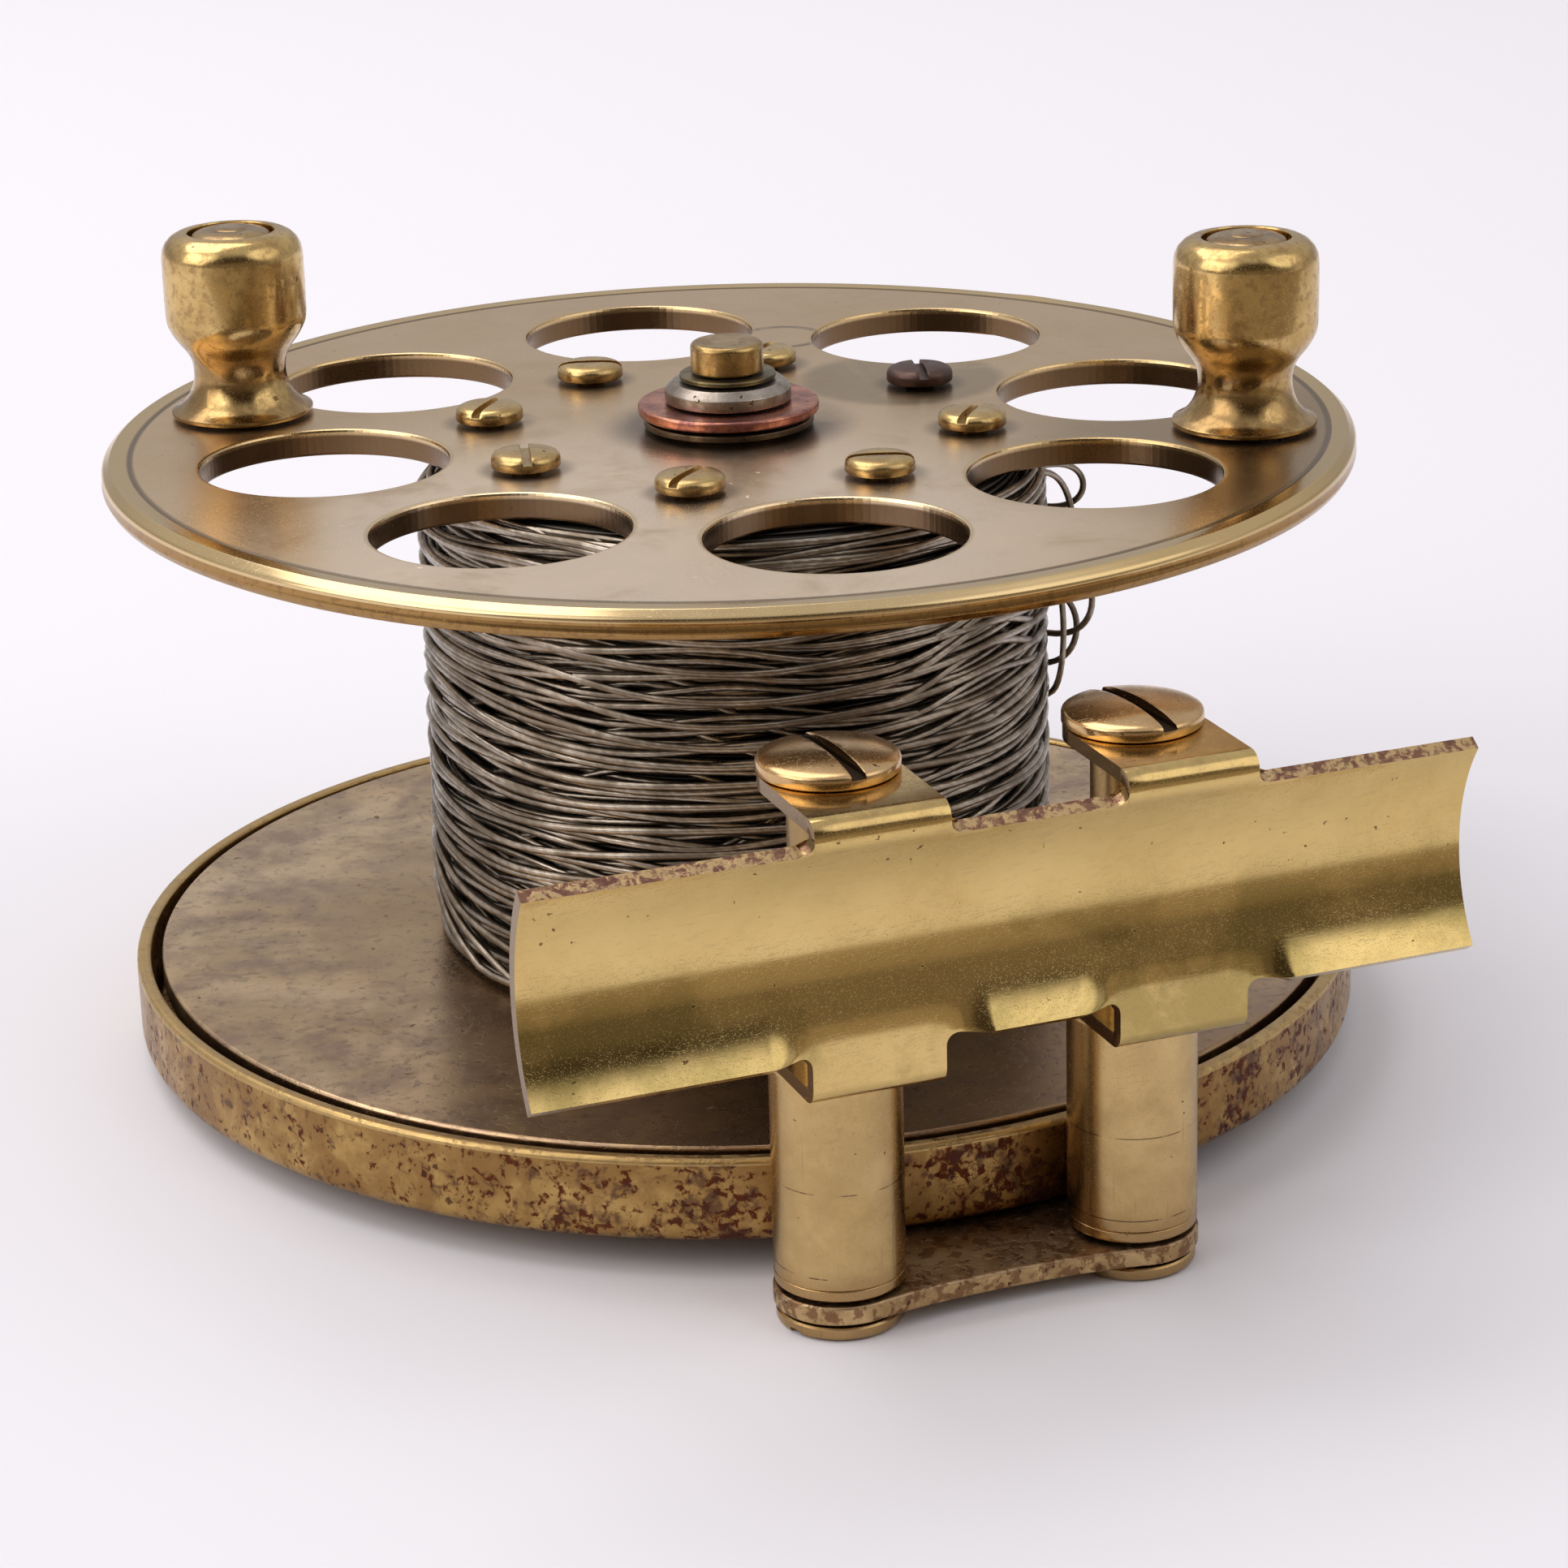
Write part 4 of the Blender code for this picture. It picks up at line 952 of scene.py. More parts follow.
def window_cutter():
    """Eight flared plugs in a ring, joined, that cut the windows and ease their edges."""
    edge = 0.22
    radius = WINDOW["radius"]
    outline = [(0.0, face + 1.0), (radius + 1.3, face + 1.0), (radius + edge, face)]
    outline += [(radius + edge * 0.3, face - edge * 0.3), (radius, face - edge), (radius, under + edge)]
    outline += [(radius + edge * 0.3, under + edge * 0.3)]
    outline += [(radius + edge, under), (radius + 1.3, under - 1.0), (0.0, under - 1.0)]
    plug = turned("window_plug", outline, 96, ring=False)
    blank = bpy.data.materials.new("blank")
    return run_tree(plug, RING_OF_PIECES, {
        "Count": WINDOW["count"], "Pitch radius": WINDOW["pitch"] * MM,
        "First angle": radians(WINDOW["first"]), "Height": 0.0, "Finish": blank,
    })


plugs = window_cutter()
cut_away(flange, plugs)
settle(flange)
bpy.data.objects.remove(plugs, do_unlink=True)


def flange_wear(tree, place, colour, roughness, height):
    """Bright edges and a ring mark; a painted pale sheen at the front that stands for the turned face's
    reflection, a painted shade at the right, a dark patch, a painted shadow round the hub under the washer,
    darkening round the screw heads, and painted shade on the window walls and the rim's outer side.
    """
    reach = distance_from(tree, place, (0.0, 0.0, 0.0))
    split = add(tree, "SeparateXYZ", Vector=place).node.outputs
    # Painted highlight: a pale sheen over the front of the face, standing for the turned face's reflection.
    painted_front_sheen = ramp(tree, distance_from(tree, place, (-0.018, -0.030, 0.0)), 0.050, 0.018, 0.1, 0.9)
    patch = clouds(tree, place, 0.010, 0.9, 0.16)
    colour = wash(tree, colour, (0.97, 0.79, 0.60), painted_front_sheen, patch)
    shade = ramp(tree, distance_from(tree, place, (0.040, -0.024, 0.0)), 0.032, 0.012, 0.0, 0.75)
    colour = blend(tree, shade, colour, (0.26, 0.17, 0.08))
    mark = distance_from(tree, place, (0.0148, 0.0261, 0.0))
    off_mark = maths(tree, "ABSOLUTE", maths(tree, "SUBTRACT", mark, 0.0037))
    ring = ramp(tree, off_mark, 0.0006, 0.0001, 0.0, 0.75)
    broken = clouds(tree, place, 0.003, 0.85, 0.12)
    colour = wash(tree, colour, (0.13, 0.08, 0.055), ring, broken)
    dark = ramp(tree, distance_from(tree, place, (0.0185, 0.0075, 0.0)), 0.0095, 0.0078, 0.0, 0.6)
    colour = wash(tree, colour, (0.21, 0.15, 0.075), dark, patch)
    # Painted shadow: the face is darkened round the hub, under the washer.
    hub = ramp(tree, reach, 0.0115, 0.0074, 0.0, 0.8)
    colour = wash(tree, colour, (0.10, 0.06, 0.045), hub, patch)
    heads = nearest_of_ring(tree, place, **SCREWS)
    round_heads = ramp(tree, heads, 0.0044, 0.0029, 0.0, 0.6)
    colour = wash(tree, colour, (0.13, 0.08, 0.045), round_heads, patch)
    off_line = maths(tree, "ABSOLUTE", maths(tree, "SUBTRACT", reach, (FLANGE_R - 2.32) * MM))
    line = ramp(tree, off_line, 0.0004, 0.0001, 0.0, 0.85)
    colour = blend(tree, line, colour, (0.14, 0.09, 0.05))
    outside = maths(tree, "GREATER_THAN", reach, (FLANGE_R - 2.04) * MM)
    colour = wash(tree, colour, (0.66, 0.47, 0.20), outside, 0.75)
    windows = nearest_of_ring(tree, place, WINDOW["count"], WINDOW["pitch"], WINDOW["first"])
    lip = ramp(tree, windows, (WINDOW["radius"] + 0.5) * MM, (WINDOW["radius"] + 0.25) * MM)
    inside = ramp(tree, split[2], (face - 0.3) * MM, (face - 0.6) * MM)
    shine = maths(tree, "MULTIPLY", lip, maths(tree, "SUBTRACT", 1.0, inside))
    colour = wash(tree, colour, (0.66, 0.46, 0.20), shine, 0.5)
    # Painted shade: the walls of the windows are darkened.
    bore = maths(tree, "MULTIPLY", lip, inside)
    colour = wash(tree, colour, (0.17, 0.10, 0.05), bore, 0.95)
    bright = maths(tree, "MAXIMUM", outside, maths(tree, "MULTIPLY", shine, 0.6))
    roughness = maths(tree, "MULTIPLY_ADD", bright, -0.10, roughness, clamp=True)
    # Painted shade: the rim's outer side is darkened to stand for its dim reflection; the pits on it are
    # tarnish.
    side = maths(tree, "MULTIPLY", maths(tree, "GREATER_THAN", reach, (FLANGE_R - 0.3) * MM),
                 maths(tree, "LESS_THAN", split[2], (face - 0.9) * MM))
    pit = clouds(tree, place, 0.0007, 0.32, 0.06)
    colour = wash(tree, colour, (0.34, 0.19, 0.06), side, 0.9)
    colour = wash(tree, colour, (0.22, 0.11, 0.05), side, pit, 0.5)
    return colour, roughness, height


flange.data.materials.append(metal("Flange brass", (0.66, 0.47, 0.27), (0.53, 0.36, 0.19), (0.20, 0.11, 0.06),
                                   cloud=(0.014, 0.5, 0.2), pits=(0.0016, 0.12, 0.14), rough=(0.25, 0.33),
                                   scratch=0.22, rings=0.30, dents=0.10, more=flange_wear))
fit(flange, "spool", "front_flange")

_, low, high = node_span("rear_flange")
rear_outline = rounded([(49.5, high, 0.3), (49.5, low, 0.2), (HUB_HOLE, low), (HUB_HOLE, high)], closed=True)
rear = settle(turned("rear_flange_turned", rear_outline, 192))


def rear_wear(tree, place, colour, roughness, height):
    """Soft brown and plum mottling, painted shade towards the line and the front, and small dark freckles."""
    reach = distance_from(tree, place, (0.0, 0.0, 0.0))
    # Painted shade: darker towards the wire line, and towards the front, where the wire and front flange
    # shade it.
    inner = ramp(tree, reach, 0.040, 0.027, 0.0, 0.5)
    colour = blend(tree, inner, colour, (0.30, 0.18, 0.075))
    front = ramp(tree, distance_from(tree, place, (0.006, -0.046, 0.0)), 0.050, 0.020, 0.0, 0.75)
    colour = blend(tree, front, colour, (0.23, 0.13, 0.06))
    brown = clouds(tree, place, 0.009, 0.5, 0.13)
    colour = wash(tree, colour, (0.38, 0.26, 0.14), brown, 0.55)
    plum = clouds(tree, place, 0.0045, 0.40, 0.15)
    outer = ramp(tree, reach, 0.028, 0.042, 0.25, 0.75)
    colour = wash(tree, colour, (0.30, 0.19, 0.14), plum, outer)
    freckle = clouds(tree, place, 0.0009, 0.26, 0.05)
    colour = wash(tree, colour, (0.12, 0.075, 0.05), freckle, 0.35)
    height = maths(tree, "MULTIPLY_ADD", freckle, -0.5, height)
    return colour, roughness, height


rear.data.materials.append(metal(
    "Rear flange brass", (0.74, 0.54, 0.34), (0.60, 0.42, 0.23), (0.14, 0.09, 0.06),
    cloud=(0.018, 0.5, 0.2), pits=(0.0016, 0.2, 0.2), rough=(0.24, 0.36),
    rings=0.25, dents=0.2, more=rear_wear,
))
fit(rear, "spool", "rear_flange")


# ------------------------------------------------------------------------------------------------
# The hub, the arbor and the face screws.  A dark bearing tube comes up through the flange, the line's
# arbor is a tube with thick ends, and eight small slotted cheese-head screws hold the flange to it,
# each left at its own angle.  One has gone nearly black.
_, low, high = node_span("hub_tube")
outline = rounded([
    (7.0, high, 0.2), (7.0, face + 0.3, 0.1), (5.8, face + 0.3), (5.8, low), (2.9, low), (2.9, high),
], closed=True)
hub = settle(turned("hub_tube_turned", outline, 96))
# The hub tube is coloured a dark brown, near black.
hub.data.materials.append(bare_metal("Dark hub brass", (0.17, 0.12, 0.07), (0.06, 0.04, 0.03), 0.3))
fit(hub, "spool", "hub_tube")
dress("drum_barrel", bare_metal("Arbor brass", (0.50, 0.35, 0.16), (0.28, 0.18, 0.08), 0.35))

SCREW_SEAT = face + 0.3
screw_line = [(0.0, 1.35), (1.2, 1.33), (1.9, 1.28), (2.3, 1.2), (2.55, 1.08), (2.72, 0.9)]
screw_line += [(2.79, 0.68), (2.8, 0.5), (2.8, 0.14), (2.75, 0.03), (2.6, 0.0), (1.2, 0.0)]
screw_line += [(1.2, -6.0), (0.0, -6.0)]
face_screws = slotted("face_screws", screw_line, 56, (0.0, 0.0), (0.72, 0.72, 4.0, 0.0))


def screw_wear(tree, place, colour, roughness, height):
    """Darker brown low on each head and in its slot, and one screw gone dark."""
    split = add(tree, "SeparateXYZ", Vector=place).node.outputs
    # Darker brown towards the foot of each head.
    deep = ramp(tree, split[2], (SCREW_SEAT + 1.0) * MM, (SCREW_SEAT + 0.1) * MM, 0.0, 0.85)
    patch = clouds(tree, place, 0.0015, 0.75, 0.14)
    colour = wash(tree, colour, (0.13, 0.08, 0.04), deep, patch)
    angle = radians(SCREWS["first"] + 90)
    spot = (SCREWS["pitch"] * MM * cos(angle), SCREWS["pitch"] * MM * sin(angle), 0.0)
    black = ramp(tree, distance_from(tree, place, spot), 0.0036, 0.0034, 0.0, 0.93)
    colour = blend(tree, black, colour, (0.075, 0.045, 0.05))
    roughness = maths(tree, "MULTIPLY_ADD", black, 0.2, roughness, clamp=True)
    return colour, roughness, height


screw_brass = metal("Face screw brass", (0.64, 0.45, 0.19), (0.42, 0.27, 0.11), (0.14, 0.08, 0.04),
                    cloud=(0.002, 0.45, 0.15), pits=(0.0007, 0.12, 0.4), rough=(0.2, 0.35), more=screw_wear)
run_tree(face_screws, RING_OF_PIECES, {
    "Count": SCREWS["count"], "Pitch radius": SCREWS["pitch"] * MM,
    "First angle": radians(SCREWS["first"]), "Height": SCREW_SEAT * MM, "Finish": screw_brass,
    **{f"Turn {number}": radians(turn) for number, turn in enumerate((160, 48, 75, 40), 1)},
})
fit(face_screws, "spool", *[f"face_screw_{number}" for number in range(1, 9)])


# ------------------------------------------------------------------------------------------------
# The wire line.  About 58 metres of 0.6 mm stranded steel wire, wound by hand without much care, so
# that turns wander and cross.  It is one tree: a line of points wound to and fro along the arbor.
_, line_low, line_high = node_span("wire_line")
WIRE = {"turns": 150, "passes": 8, "thick": 0.34, "points": 84, "core": 23.9, "outside": 26.0}


def winding_tree():
    """Wind one wire to and fro on a drum: its height wanders, and each pass lies on the one before."""
    inputs = [("Turns", "Float", 100.0), ("Passes", "Float", 5.0), ("Points", "Int", 9000)]
    inputs += [("Inner radius", "Float", 0.024), ("Outer radius", "Float", 0.026), ("Bottom", "Float", 0.0)]
    inputs += [("Top", "Float", 0.04), ("Wander", "Float", 0.002), ("Wire radius", "Float", 0.0003)]
    inputs += [("Seed", "Float", 1.0), ("Finish", "Material", None)]
    tree, given, result = geometry_tree("Wound wire", inputs)
    line = add(tree, "GeometryNodeCurvePrimitiveLine")
    line = add(tree, "GeometryNodeResampleCurve", Curve=line, Count=given["Points"])
    share = add(tree, "GeometryNodeSplineParameter")
    turn = maths(tree, "MULTIPLY", share, given["Turns"])
    angle = maths(tree, "MULTIPLY", turn, tau)
    across = maths(tree, "COSINE", angle)
    up = maths(tree, "SINE", angle)
    travel = maths(tree, "PINGPONG", maths(tree, "MULTIPLY", share, given["Passes"]), 1.0)
    layer = maths(tree, "MULTIPLY_ADD", turn, 0.17, given["Seed"])
    chance_at = add(tree, "CombineXYZ", X=maths(tree, "MULTIPLY", across, 0.75),
                    Y=maths(tree, "MULTIPLY", up, 0.75), Z=layer)
    chance = add(tree, "TexNoise", Vector=chance_at, Scale=1.0, Detail=1.0)
    drift = maths(tree, "MULTIPLY", maths(tree, "SUBTRACT", chance, 0.5), given["Wander"])
    mood_at = add(tree, "CombineXYZ", X=3.1, Y=0.7, Z=layer)
    mood = add(tree, "TexNoise", Vector=mood_at, Scale=0.7, Detail=0.0)
    loose = maths(tree, "MAXIMUM", maths(tree, "SUBTRACT", mood, 0.46), 0.0)
    drift = maths(tree, "MULTIPLY", drift, maths(tree, "MULTIPLY_ADD", loose, 6.0, 0.45))
    reach = maths(tree, "SUBTRACT", given["Top"], given["Bottom"])
    height = maths(tree, "ADD", maths(tree, "MULTIPLY_ADD", travel, reach, given["Bottom"]), drift)
    height = maths(tree, "MINIMUM", maths(tree, "MAXIMUM", height, given["Bottom"]), given["Top"])
    swell = add(tree, "TexNoise", Vector=chance_at, Scale=2.3, Detail=1.0)
    depth = maths(tree, "SUBTRACT", given["Outer radius"], given["Inner radius"])
    radius = maths(tree, "MULTIPLY_ADD", share, depth, given["Inner radius"])
    radius = maths(tree, "MULTIPLY_ADD", maths(tree, "SUBTRACT", swell, 0.5), 0.0008, radius)
    place = add(tree, "CombineXYZ", X=maths(tree, "MULTIPLY", across, radius),
                Y=maths(tree, "MULTIPLY", up, radius), Z=height)
    wound = add(tree, "GeometryNodeSetPosition", Geometry=line, Position=place)
    length = add(tree, "GeometryNodeSplineParameter", output=1)
    wound = add(tree, "GeometryNodeStoreNamedAttribute", {"data_type": "FLOAT", "domain": "POINT"},
                Geometry=wound, Name="along", Value=length)
    ring = add(tree, "GeometryNodeCurvePrimitiveCircle", Resolution=6, Radius=given["Wire radius"])
    solid = add(tree, "GeometryNodeCurveToMesh", i0=wound, i1=ring)
    solid = add(tree, "GeometryNodeRealizeInstances", Geometry=solid)
    finished = add(tree, "GeometryNodeSetMaterial", Geometry=solid, Material=given["Finish"])
    tree.links.new(finished, result["Geometry"])
    return tree


def wire_finish():
    """Dull stranded steel: the twist shows as slanting stripes that follow the wire, with painted shade in
    the grooves between strands.
    """
    finish, tree, given, place = finish_tree("Stranded steel")
    along = add(tree, "Attribute", {"attribute_name": "along"}, output="Fac")
    rise = add(tree, "SeparateXYZ", Vector=place).node.outputs[2]
    lay = maths(tree, "MULTIPLY_ADD", along, 5200.0, maths(tree, "MULTIPLY", rise, 5200.0))
    twist = maths(tree, "SINE", lay)
    cloud = clouds(tree, place, 0.005, 0.55, 0.15)
    colour = blend(tree, cloud, (0.44, 0.38, 0.315), (0.20, 0.16, 0.12))
    # Painted shade: the grooves between the strands are darkened.
    painted_groove_shade = ramp(tree, twist, -0.3, -0.95, 0.0, 0.15)
    colour = blend(tree, painted_groove_shade, colour, (0.06, 0.05, 0.04))
    rust = use(tree, PITTING, Place=place, Spacing=0.0016, Share=0.14, Radius=0.3)
    colour = wash(tree, colour, (0.16, 0.09, 0.05), rust, 0.6)
    connect(tree, given, colour, maths(tree, "MULTIPLY_ADD", cloud, 0.14, 0.26), 0.2, 0.00003, twist)
    return finish


steel_line = wire_finish()
wire = mesh_object("wire_line_wound", bpy.data.meshes.new("wire"))
run_tree(wire, winding_tree(), {
    "Turns": float(WIRE["turns"]), "Passes": float(WIRE["passes"]), "Points": WIRE["turns"] * WIRE["points"],
    "Inner radius": WIRE["core"] * MM, "Outer radius": WIRE["outside"] * MM,
    "Bottom": (line_low + 0.5) * MM, "Top": (line_high - 0.5) * MM, "Wander": 15.0 * MM,
    "Wire radius": WIRE["thick"] * MM, "Seed": 4.7, "Finish": steel_line,
})


def loose_turns():
    """Slack turns that stand off the right of the winding, under the front flange."""
    shape = bpy.data.curves.new("loose_turns", "CURVE")
    shape.dimensions = "3D"
    shape.bevel_depth = WIRE["thick"] * MM * 0.8
    shape.bevel_resolution = 2
    slack = ((-31, -17, 46.0, 35.0, 3.0), (-34, -12, 38.0, 30.0, 4.6), (-25, -15, 35.0, 27.5, 3.4),
             (-42, -6, 39.0, 24.0, 2.2), (-27, -12, 46.0, 41.0, 4.0))
    for start, stop, high, low, bulge in slack:
        spline = shape.splines.new("POLY")
        spline.points.add(24)
        for index, point in enumerate(spline.points):
            share = index / 24
            swing = sin(pi * share)
            angle = radians(start + (stop - start) * (share + 0.18 * sin(tau * share)))
            radius = 25.2 + bulge * swing
            level = (high + low) / 2 + (high - low) / 2 * cos(pi * share)
            point.co = (radius * cos(angle) * MM, radius * sin(angle) * MM, level * MM, 1.0)
    return drawn_mesh(shape)


joined = bmesh.new()
joined.from_mesh(wire.data)
joined.from_mesh(loose_turns())
joined.to_mesh(wire.data)
joined.free()
for polygon in wire.data.polygons:
    polygon.use_smooth = True
fit(wire, "spool", "wire_line")

core_outline = rounded([
    (WIRE["core"], line_high, 0.2), (WIRE["core"], line_low, 0.2), (22.7, line_low), (22.7, line_high),
], closed=True)
core = turned("wire_line_core", core_outline, 96)


def core_finish():
    """The deeper turns, seen only through gaps: level wires as fine ribs, painted nearly black as the shade
    between the turns.
    """
    finish, tree, given, place = finish_tree("Deep wire")
    rise = add(tree, "SeparateXYZ", Vector=place).node.outputs[2]
    drift = add(tree, "TexNoise", Vector=place, Scale=60.0, Detail=1.0)
    level = maths(tree, "MULTIPLY_ADD", drift, 14.0, maths(tree, "MULTIPLY", rise, 9500.0))
    ribs = maths(tree, "SINE", level)
    # Painted shade: the ribs are coloured nearly black.
    colour = blend(tree, ramp(tree, ribs, -0.6, 0.6), (0.015, 0.013, 0.011), (0.13, 0.115, 0.10))
    connect(tree, given, colour, 0.5, 0.8, 0.0002, ribs)
    return finish


core.data.materials.append(core_finish())
settle(core)
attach(core, "spool")


# ------------------------------------------------------------------------------------------------
# The two handles.  Solid turned brass, waisted for finger and thumb and rubbed bright by use, each
# free to turn on a pin that is riveted through the flange.  The pin's head sits in the crown.
def handle_wear(tree, place, colour, roughness, height):
    """Darker brown clouds from the lower waist down to the foot, and a faint brown fleck all over."""
    rise = add(tree, "SeparateXYZ", Vector=place).node.outputs[2]
    # Darker brown clouds from the lower waist down to the foot.
    waist = ramp(tree, rise, (face + 8.5) * MM, (face + 5.0) * MM, 0.0, 0.75)
    cloud = clouds(tree, place, 0.003, 0.7, 0.14)
    colour = wash(tree, colour, (0.25, 0.145, 0.06), waist, cloud)
    fleck = clouds(tree, place, 0.0007, 0.35, 0.08)
    colour = wash(tree, colour, (0.24, 0.14, 0.06), fleck, 0.45)
    roughness = maths(tree, "MULTIPLY_ADD", fleck, 0.10, roughness, clamp=True)
    return colour, roughness, height


handle_brass = metal("Handle brass", (0.68, 0.475, 0.195), (0.48, 0.31, 0.12), (0.20, 0.11, 0.05),
                     cloud=(0.005, 0.5, 0.16), pits=(0.0012, 0.10, 0.22), rough=(0.13, 0.24), scratch=0.3,
                     dents=0.10, more=handle_wear)
pin_brass = metal("Pin brass", (0.46, 0.31, 0.14), (0.22, 0.13, 0.07), (0.10, 0.06, 0.04),
                  cloud=(0.002, 0.5, 0.15), pits=(0.0008, 0.2, 0.4), rough=(0.20, 0.34))
HANDLE_LINE = [
    (3.85, 15.7), (4.47, 15.6), (5.03, 15.32), (5.47, 14.88), (5.75, 14.32), (5.85, 13.7), (5.87, 11.5),
    (5.85, 8.8), (5.8, 8.3), (5.7, 7.9), (5.52, 7.5), (5.3, 7.1), (5.0, 6.65), (4.65, 6.2), (4.35, 5.8),
    (4.1, 5.35), (3.93, 4.9), (3.85, 4.4), (3.82, 3.9), (3.86, 3.4), (3.96, 2.9), (4.12, 2.45), (4.34, 2.0),
    (4.62, 1.6), (4.98, 1.22), (5.35, 0.95), (5.7, 0.8), (5.87, 0.7), (5.9, 0.55), (5.87, 0.38), (5.78, 0.3),
    (1.8, 0.3), (1.8, 14.5), (3.6, 14.5), (3.6, 15.6), (3.68, 15.7),
]
for side in ("left", "right"):
    centre, tail, crown = node_span("handle_pin_" + side)
    outline = [(radius, face + height) for radius, height in HANDLE_LINE]
    handle = settle(turned(f"handle_{side}_turned", outline, 96, centre))
    handle.data.materials.append(handle_brass)
    fit(handle, side + "_handle", "handle_" + side)
    outline = [(0.0, crown), (0.8, crown - 0.02), (1.25, crown - 0.06), (1.42, crown - 0.16)]
    outline += [(1.6, crown - 0.1), (2.3, crown - 0.2), (2.85, crown - 0.35), (3.15, crown - 0.5)]
    outline += [(3.3, crown - 0.72), (3.3, crown - 1.2), (1.5, crown - 1.2), (1.5, under - 0.3)]
    outline += [(2.4, under - 0.3), (2.3, under - 0.6), (1.9, tail + 0.05), (1.2, tail), (0.0, tail)]
    pin = settle(turned(f"handle_pin_{side}_turned", outline, 64, centre, ring=False))
    pin.data.materials.append(pin_brass)
    fit(pin, "spool", "handle_pin_" + side)


# ------------------------------------------------------------------------------------------------
# The check.  A toothed steel wheel under the rear flange, a sprung pawl that clicks over its teeth,
# its pivot, and the spring's brass post, all out of sight in the pan.
check_steel = bare_metal("Check steel", (0.46, 0.44, 0.41), (0.22, 0.18, 0.14), 0.28)
for name in ("check_wheel", "check_pawl", "pawl_pivot", "check_spring"):
    dress(name, check_steel)
dress("spring_post", rivet_brass)


# ------------------------------------------------------------------------------------------------
# The table, light and camera.  The reel stands on the heads of its lower foot screws and on the far
# edge of the pan, so the table is tilted a little to it.  The light is one large soft surround.
SCREW_FOOT = Vector((0.0, -0.0600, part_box("pillar_screw_left")[0][2]))


def sheet(name, corners, colour, roughness, specular):
    """One flat staged sheet of paper or felt."""
    mesh = bpy.data.meshes.new(name)
    mesh.from_pydata(corners, [], [(0, 1, 2, 3)])
    finish = bpy.data.materials.new(name)
    finish.use_nodes = True
    given = finish.node_tree.nodes["Principled BSDF"].inputs
    given["Base Color"].default_value = (*colour, 1.0)
    given["Roughness"].default_value = roughness
    given["Specular IOR Level"].default_value = specular
    mesh.materials.append(finish)
    return mesh_object(name, mesh)


def table_top():
    """A pale plain floor that touches the screws' heads and the pan's far edge."""
    far = Vector((0.0, 0.0505, 0.0))
    slope = (far.z - SCREW_FOOT.z) / (far.y - SCREW_FOOT.y)
    span = 3.0
    corners = []
    for x, y in ((-span, -span), (span, -span), (span, span), (-span, span)):
        corners.append((x, y, SCREW_FOOT.z + slope * (y - SCREW_FOOT.y) - 0.00003))
    sheet("table", corners, (0.84, 0.82, 0.87), 0.9, 0.15)


def dark_card():
    """A dim card lying in front of the reel, past the edge of the picture, that only reflections show."""
    level = SCREW_FOOT.z + 0.0015
    corners = [(-0.45, -0.9, level), (0.9, -0.9, level), (0.9, -0.150, level), (-0.45, -0.150, level)]
    card = sheet("dark_card", corners, (0.35, 0.29, 0.22), 1.0, 0.0)
    card.visible_camera = False
    card.visible_diffuse = False
    card.visible_shadow = False


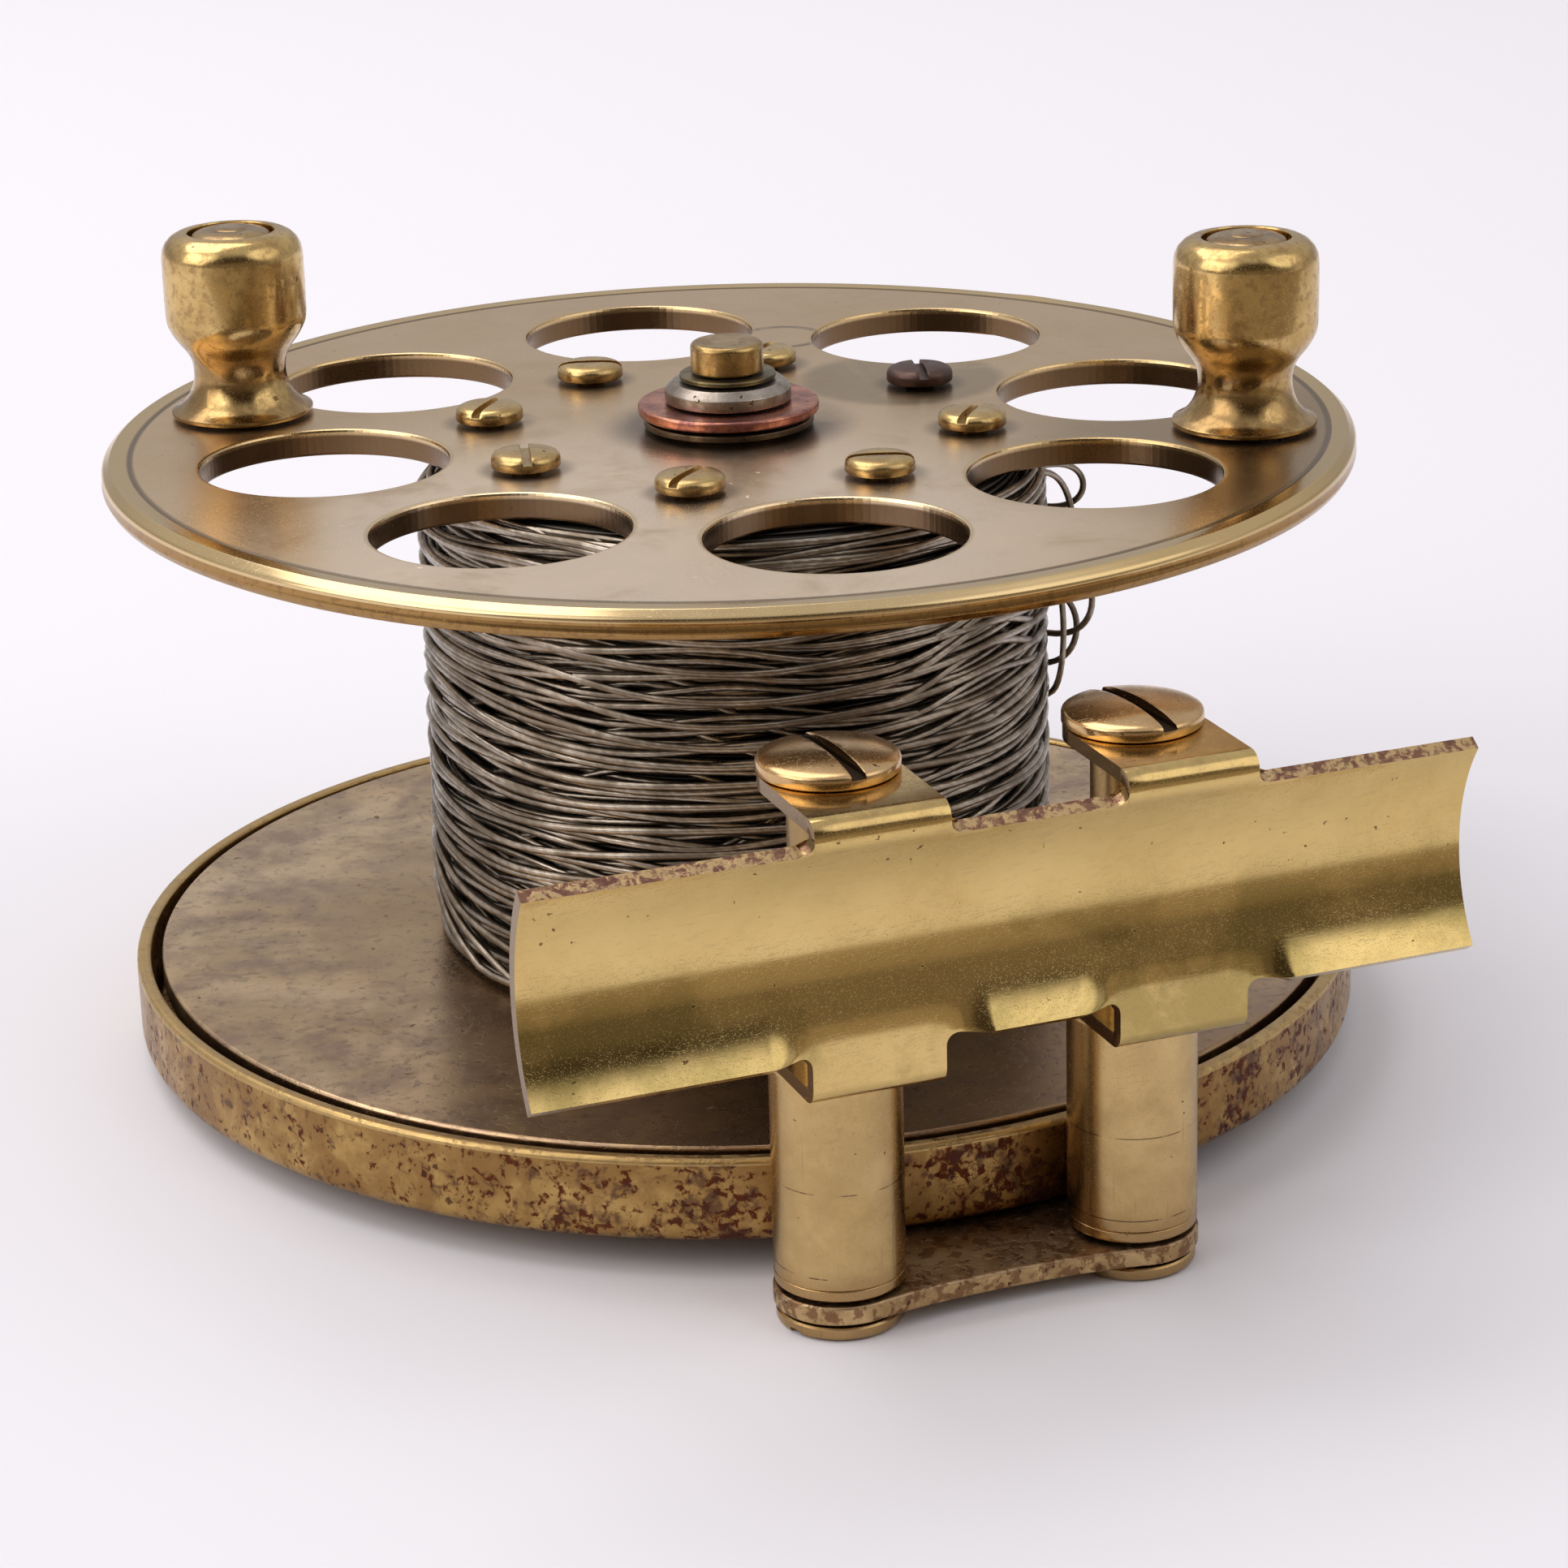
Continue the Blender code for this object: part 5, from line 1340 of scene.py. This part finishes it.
def surround():
    """A pale surround, dim in front and low down behind, with a bright window to each side of the front."""
    world = bpy.data.worlds.new("Studio")
    bpy.context.scene.world = world
    world.use_nodes = True
    tree = world.node_tree
    way = tree.nodes.new("ShaderNodeTexCoord").outputs["Generated"]
    front = add(tree, "VectorMath", {"operation": "DOT_PRODUCT"}, output=1, i0=way, i1=(-0.34, -0.94, 0.0))
    rise = add(tree, "SeparateXYZ", Vector=way).node.outputs[2]
    behind = ramp(tree, front, 0.10, -0.50)
    level = ramp(tree, rise, 0.46, 0.18)
    dim = maths(tree, "MULTIPLY", maths(tree, "MULTIPLY", behind, level), 0.30)
    colour = blend(tree, dim, (0.96, 0.95, 0.97), (0.20, 0.165, 0.14))
    gloom = blend(tree, ramp(tree, rise, 0.16, 0.38), (0.33, 0.27, 0.21), (0.11, 0.085, 0.065))
    dark = maths(tree, "MULTIPLY", ramp(tree, front, 0.10, 0.55), ramp(tree, rise, 0.93, 0.60))
    colour = blend(tree, dark, colour, gloom)
    for window in ((-0.761, -0.204, 0.616), (0.60, -0.52, 0.608)):
        toward = add(tree, "VectorMath", {"operation": "DOT_PRODUCT"}, output=1, i0=way, i1=window)
        colour = blend(tree, ramp(tree, toward, 0.87, 0.95), colour, (2.1, 2.08, 2.05))
    tree.links.new(colour, tree.nodes["Background"].inputs["Color"])
    tree.nodes["Background"].inputs["Strength"].default_value = 0.635


def soft_light(name, place, target, size, power, colour):
    """One large soft light."""
    lamp = bpy.data.lights.new(name, "AREA")
    lamp.shape = "RECTANGLE"
    lamp.size, lamp.size_y = size
    lamp.energy = power
    lamp.color = colour
    holder = bpy.data.objects.new(name, lamp)
    bpy.context.scene.collection.objects.link(holder)
    holder.location = place
    holder.rotation_euler = (Vector(target) - Vector(place)).to_track_quat("-Z", "Y").to_euler()


def camera():
    """A long lens from the front left, a little above, rolled a degree and a half."""
    lens = bpy.data.cameras.new("camera")
    lens.sensor_width = 36.0
    lens.lens = 99.8
    lens.clip_start = 0.01
    holder = bpy.data.objects.new("camera", lens)
    bpy.context.scene.collection.objects.link(holder)
    place = Vector((-0.11976, -0.32569, 0.14226))
    ahead = (Vector((0.00346, -0.00132, 0.01807)) - place).normalized()
    right = ahead.cross(Vector((0.0, 0.0, 1.0))).normalized()
    up = right.cross(ahead)
    roll = radians(-1.58)
    tilted_right = right * cos(roll) + up * sin(roll)
    tilted_up = up * cos(roll) - right * sin(roll)
    holder.matrix_world = Matrix((
        (tilted_right.x, tilted_up.x, -ahead.x, place.x),
        (tilted_right.y, tilted_up.y, -ahead.y, place.y),
        (tilted_right.z, tilted_up.z, -ahead.z, place.z),
        (0.0, 0.0, 0.0, 1.0),
    ))
    bpy.context.scene.camera = holder


table_top()
dark_card()
surround()
soft_light("overhead", (-0.25, 0.35, 0.9), (0.0, 0.0, 0.0), (0.9, 0.7), 4.6, (1.0, 0.98, 0.96))
soft_light("left", (-0.9, -0.1, 0.5), (0.0, 0.0, 0.03), (0.7, 0.7), 2.4, (1.0, 0.98, 0.95))
camera()
bpy.context.scene.view_settings.view_transform = "Standard"
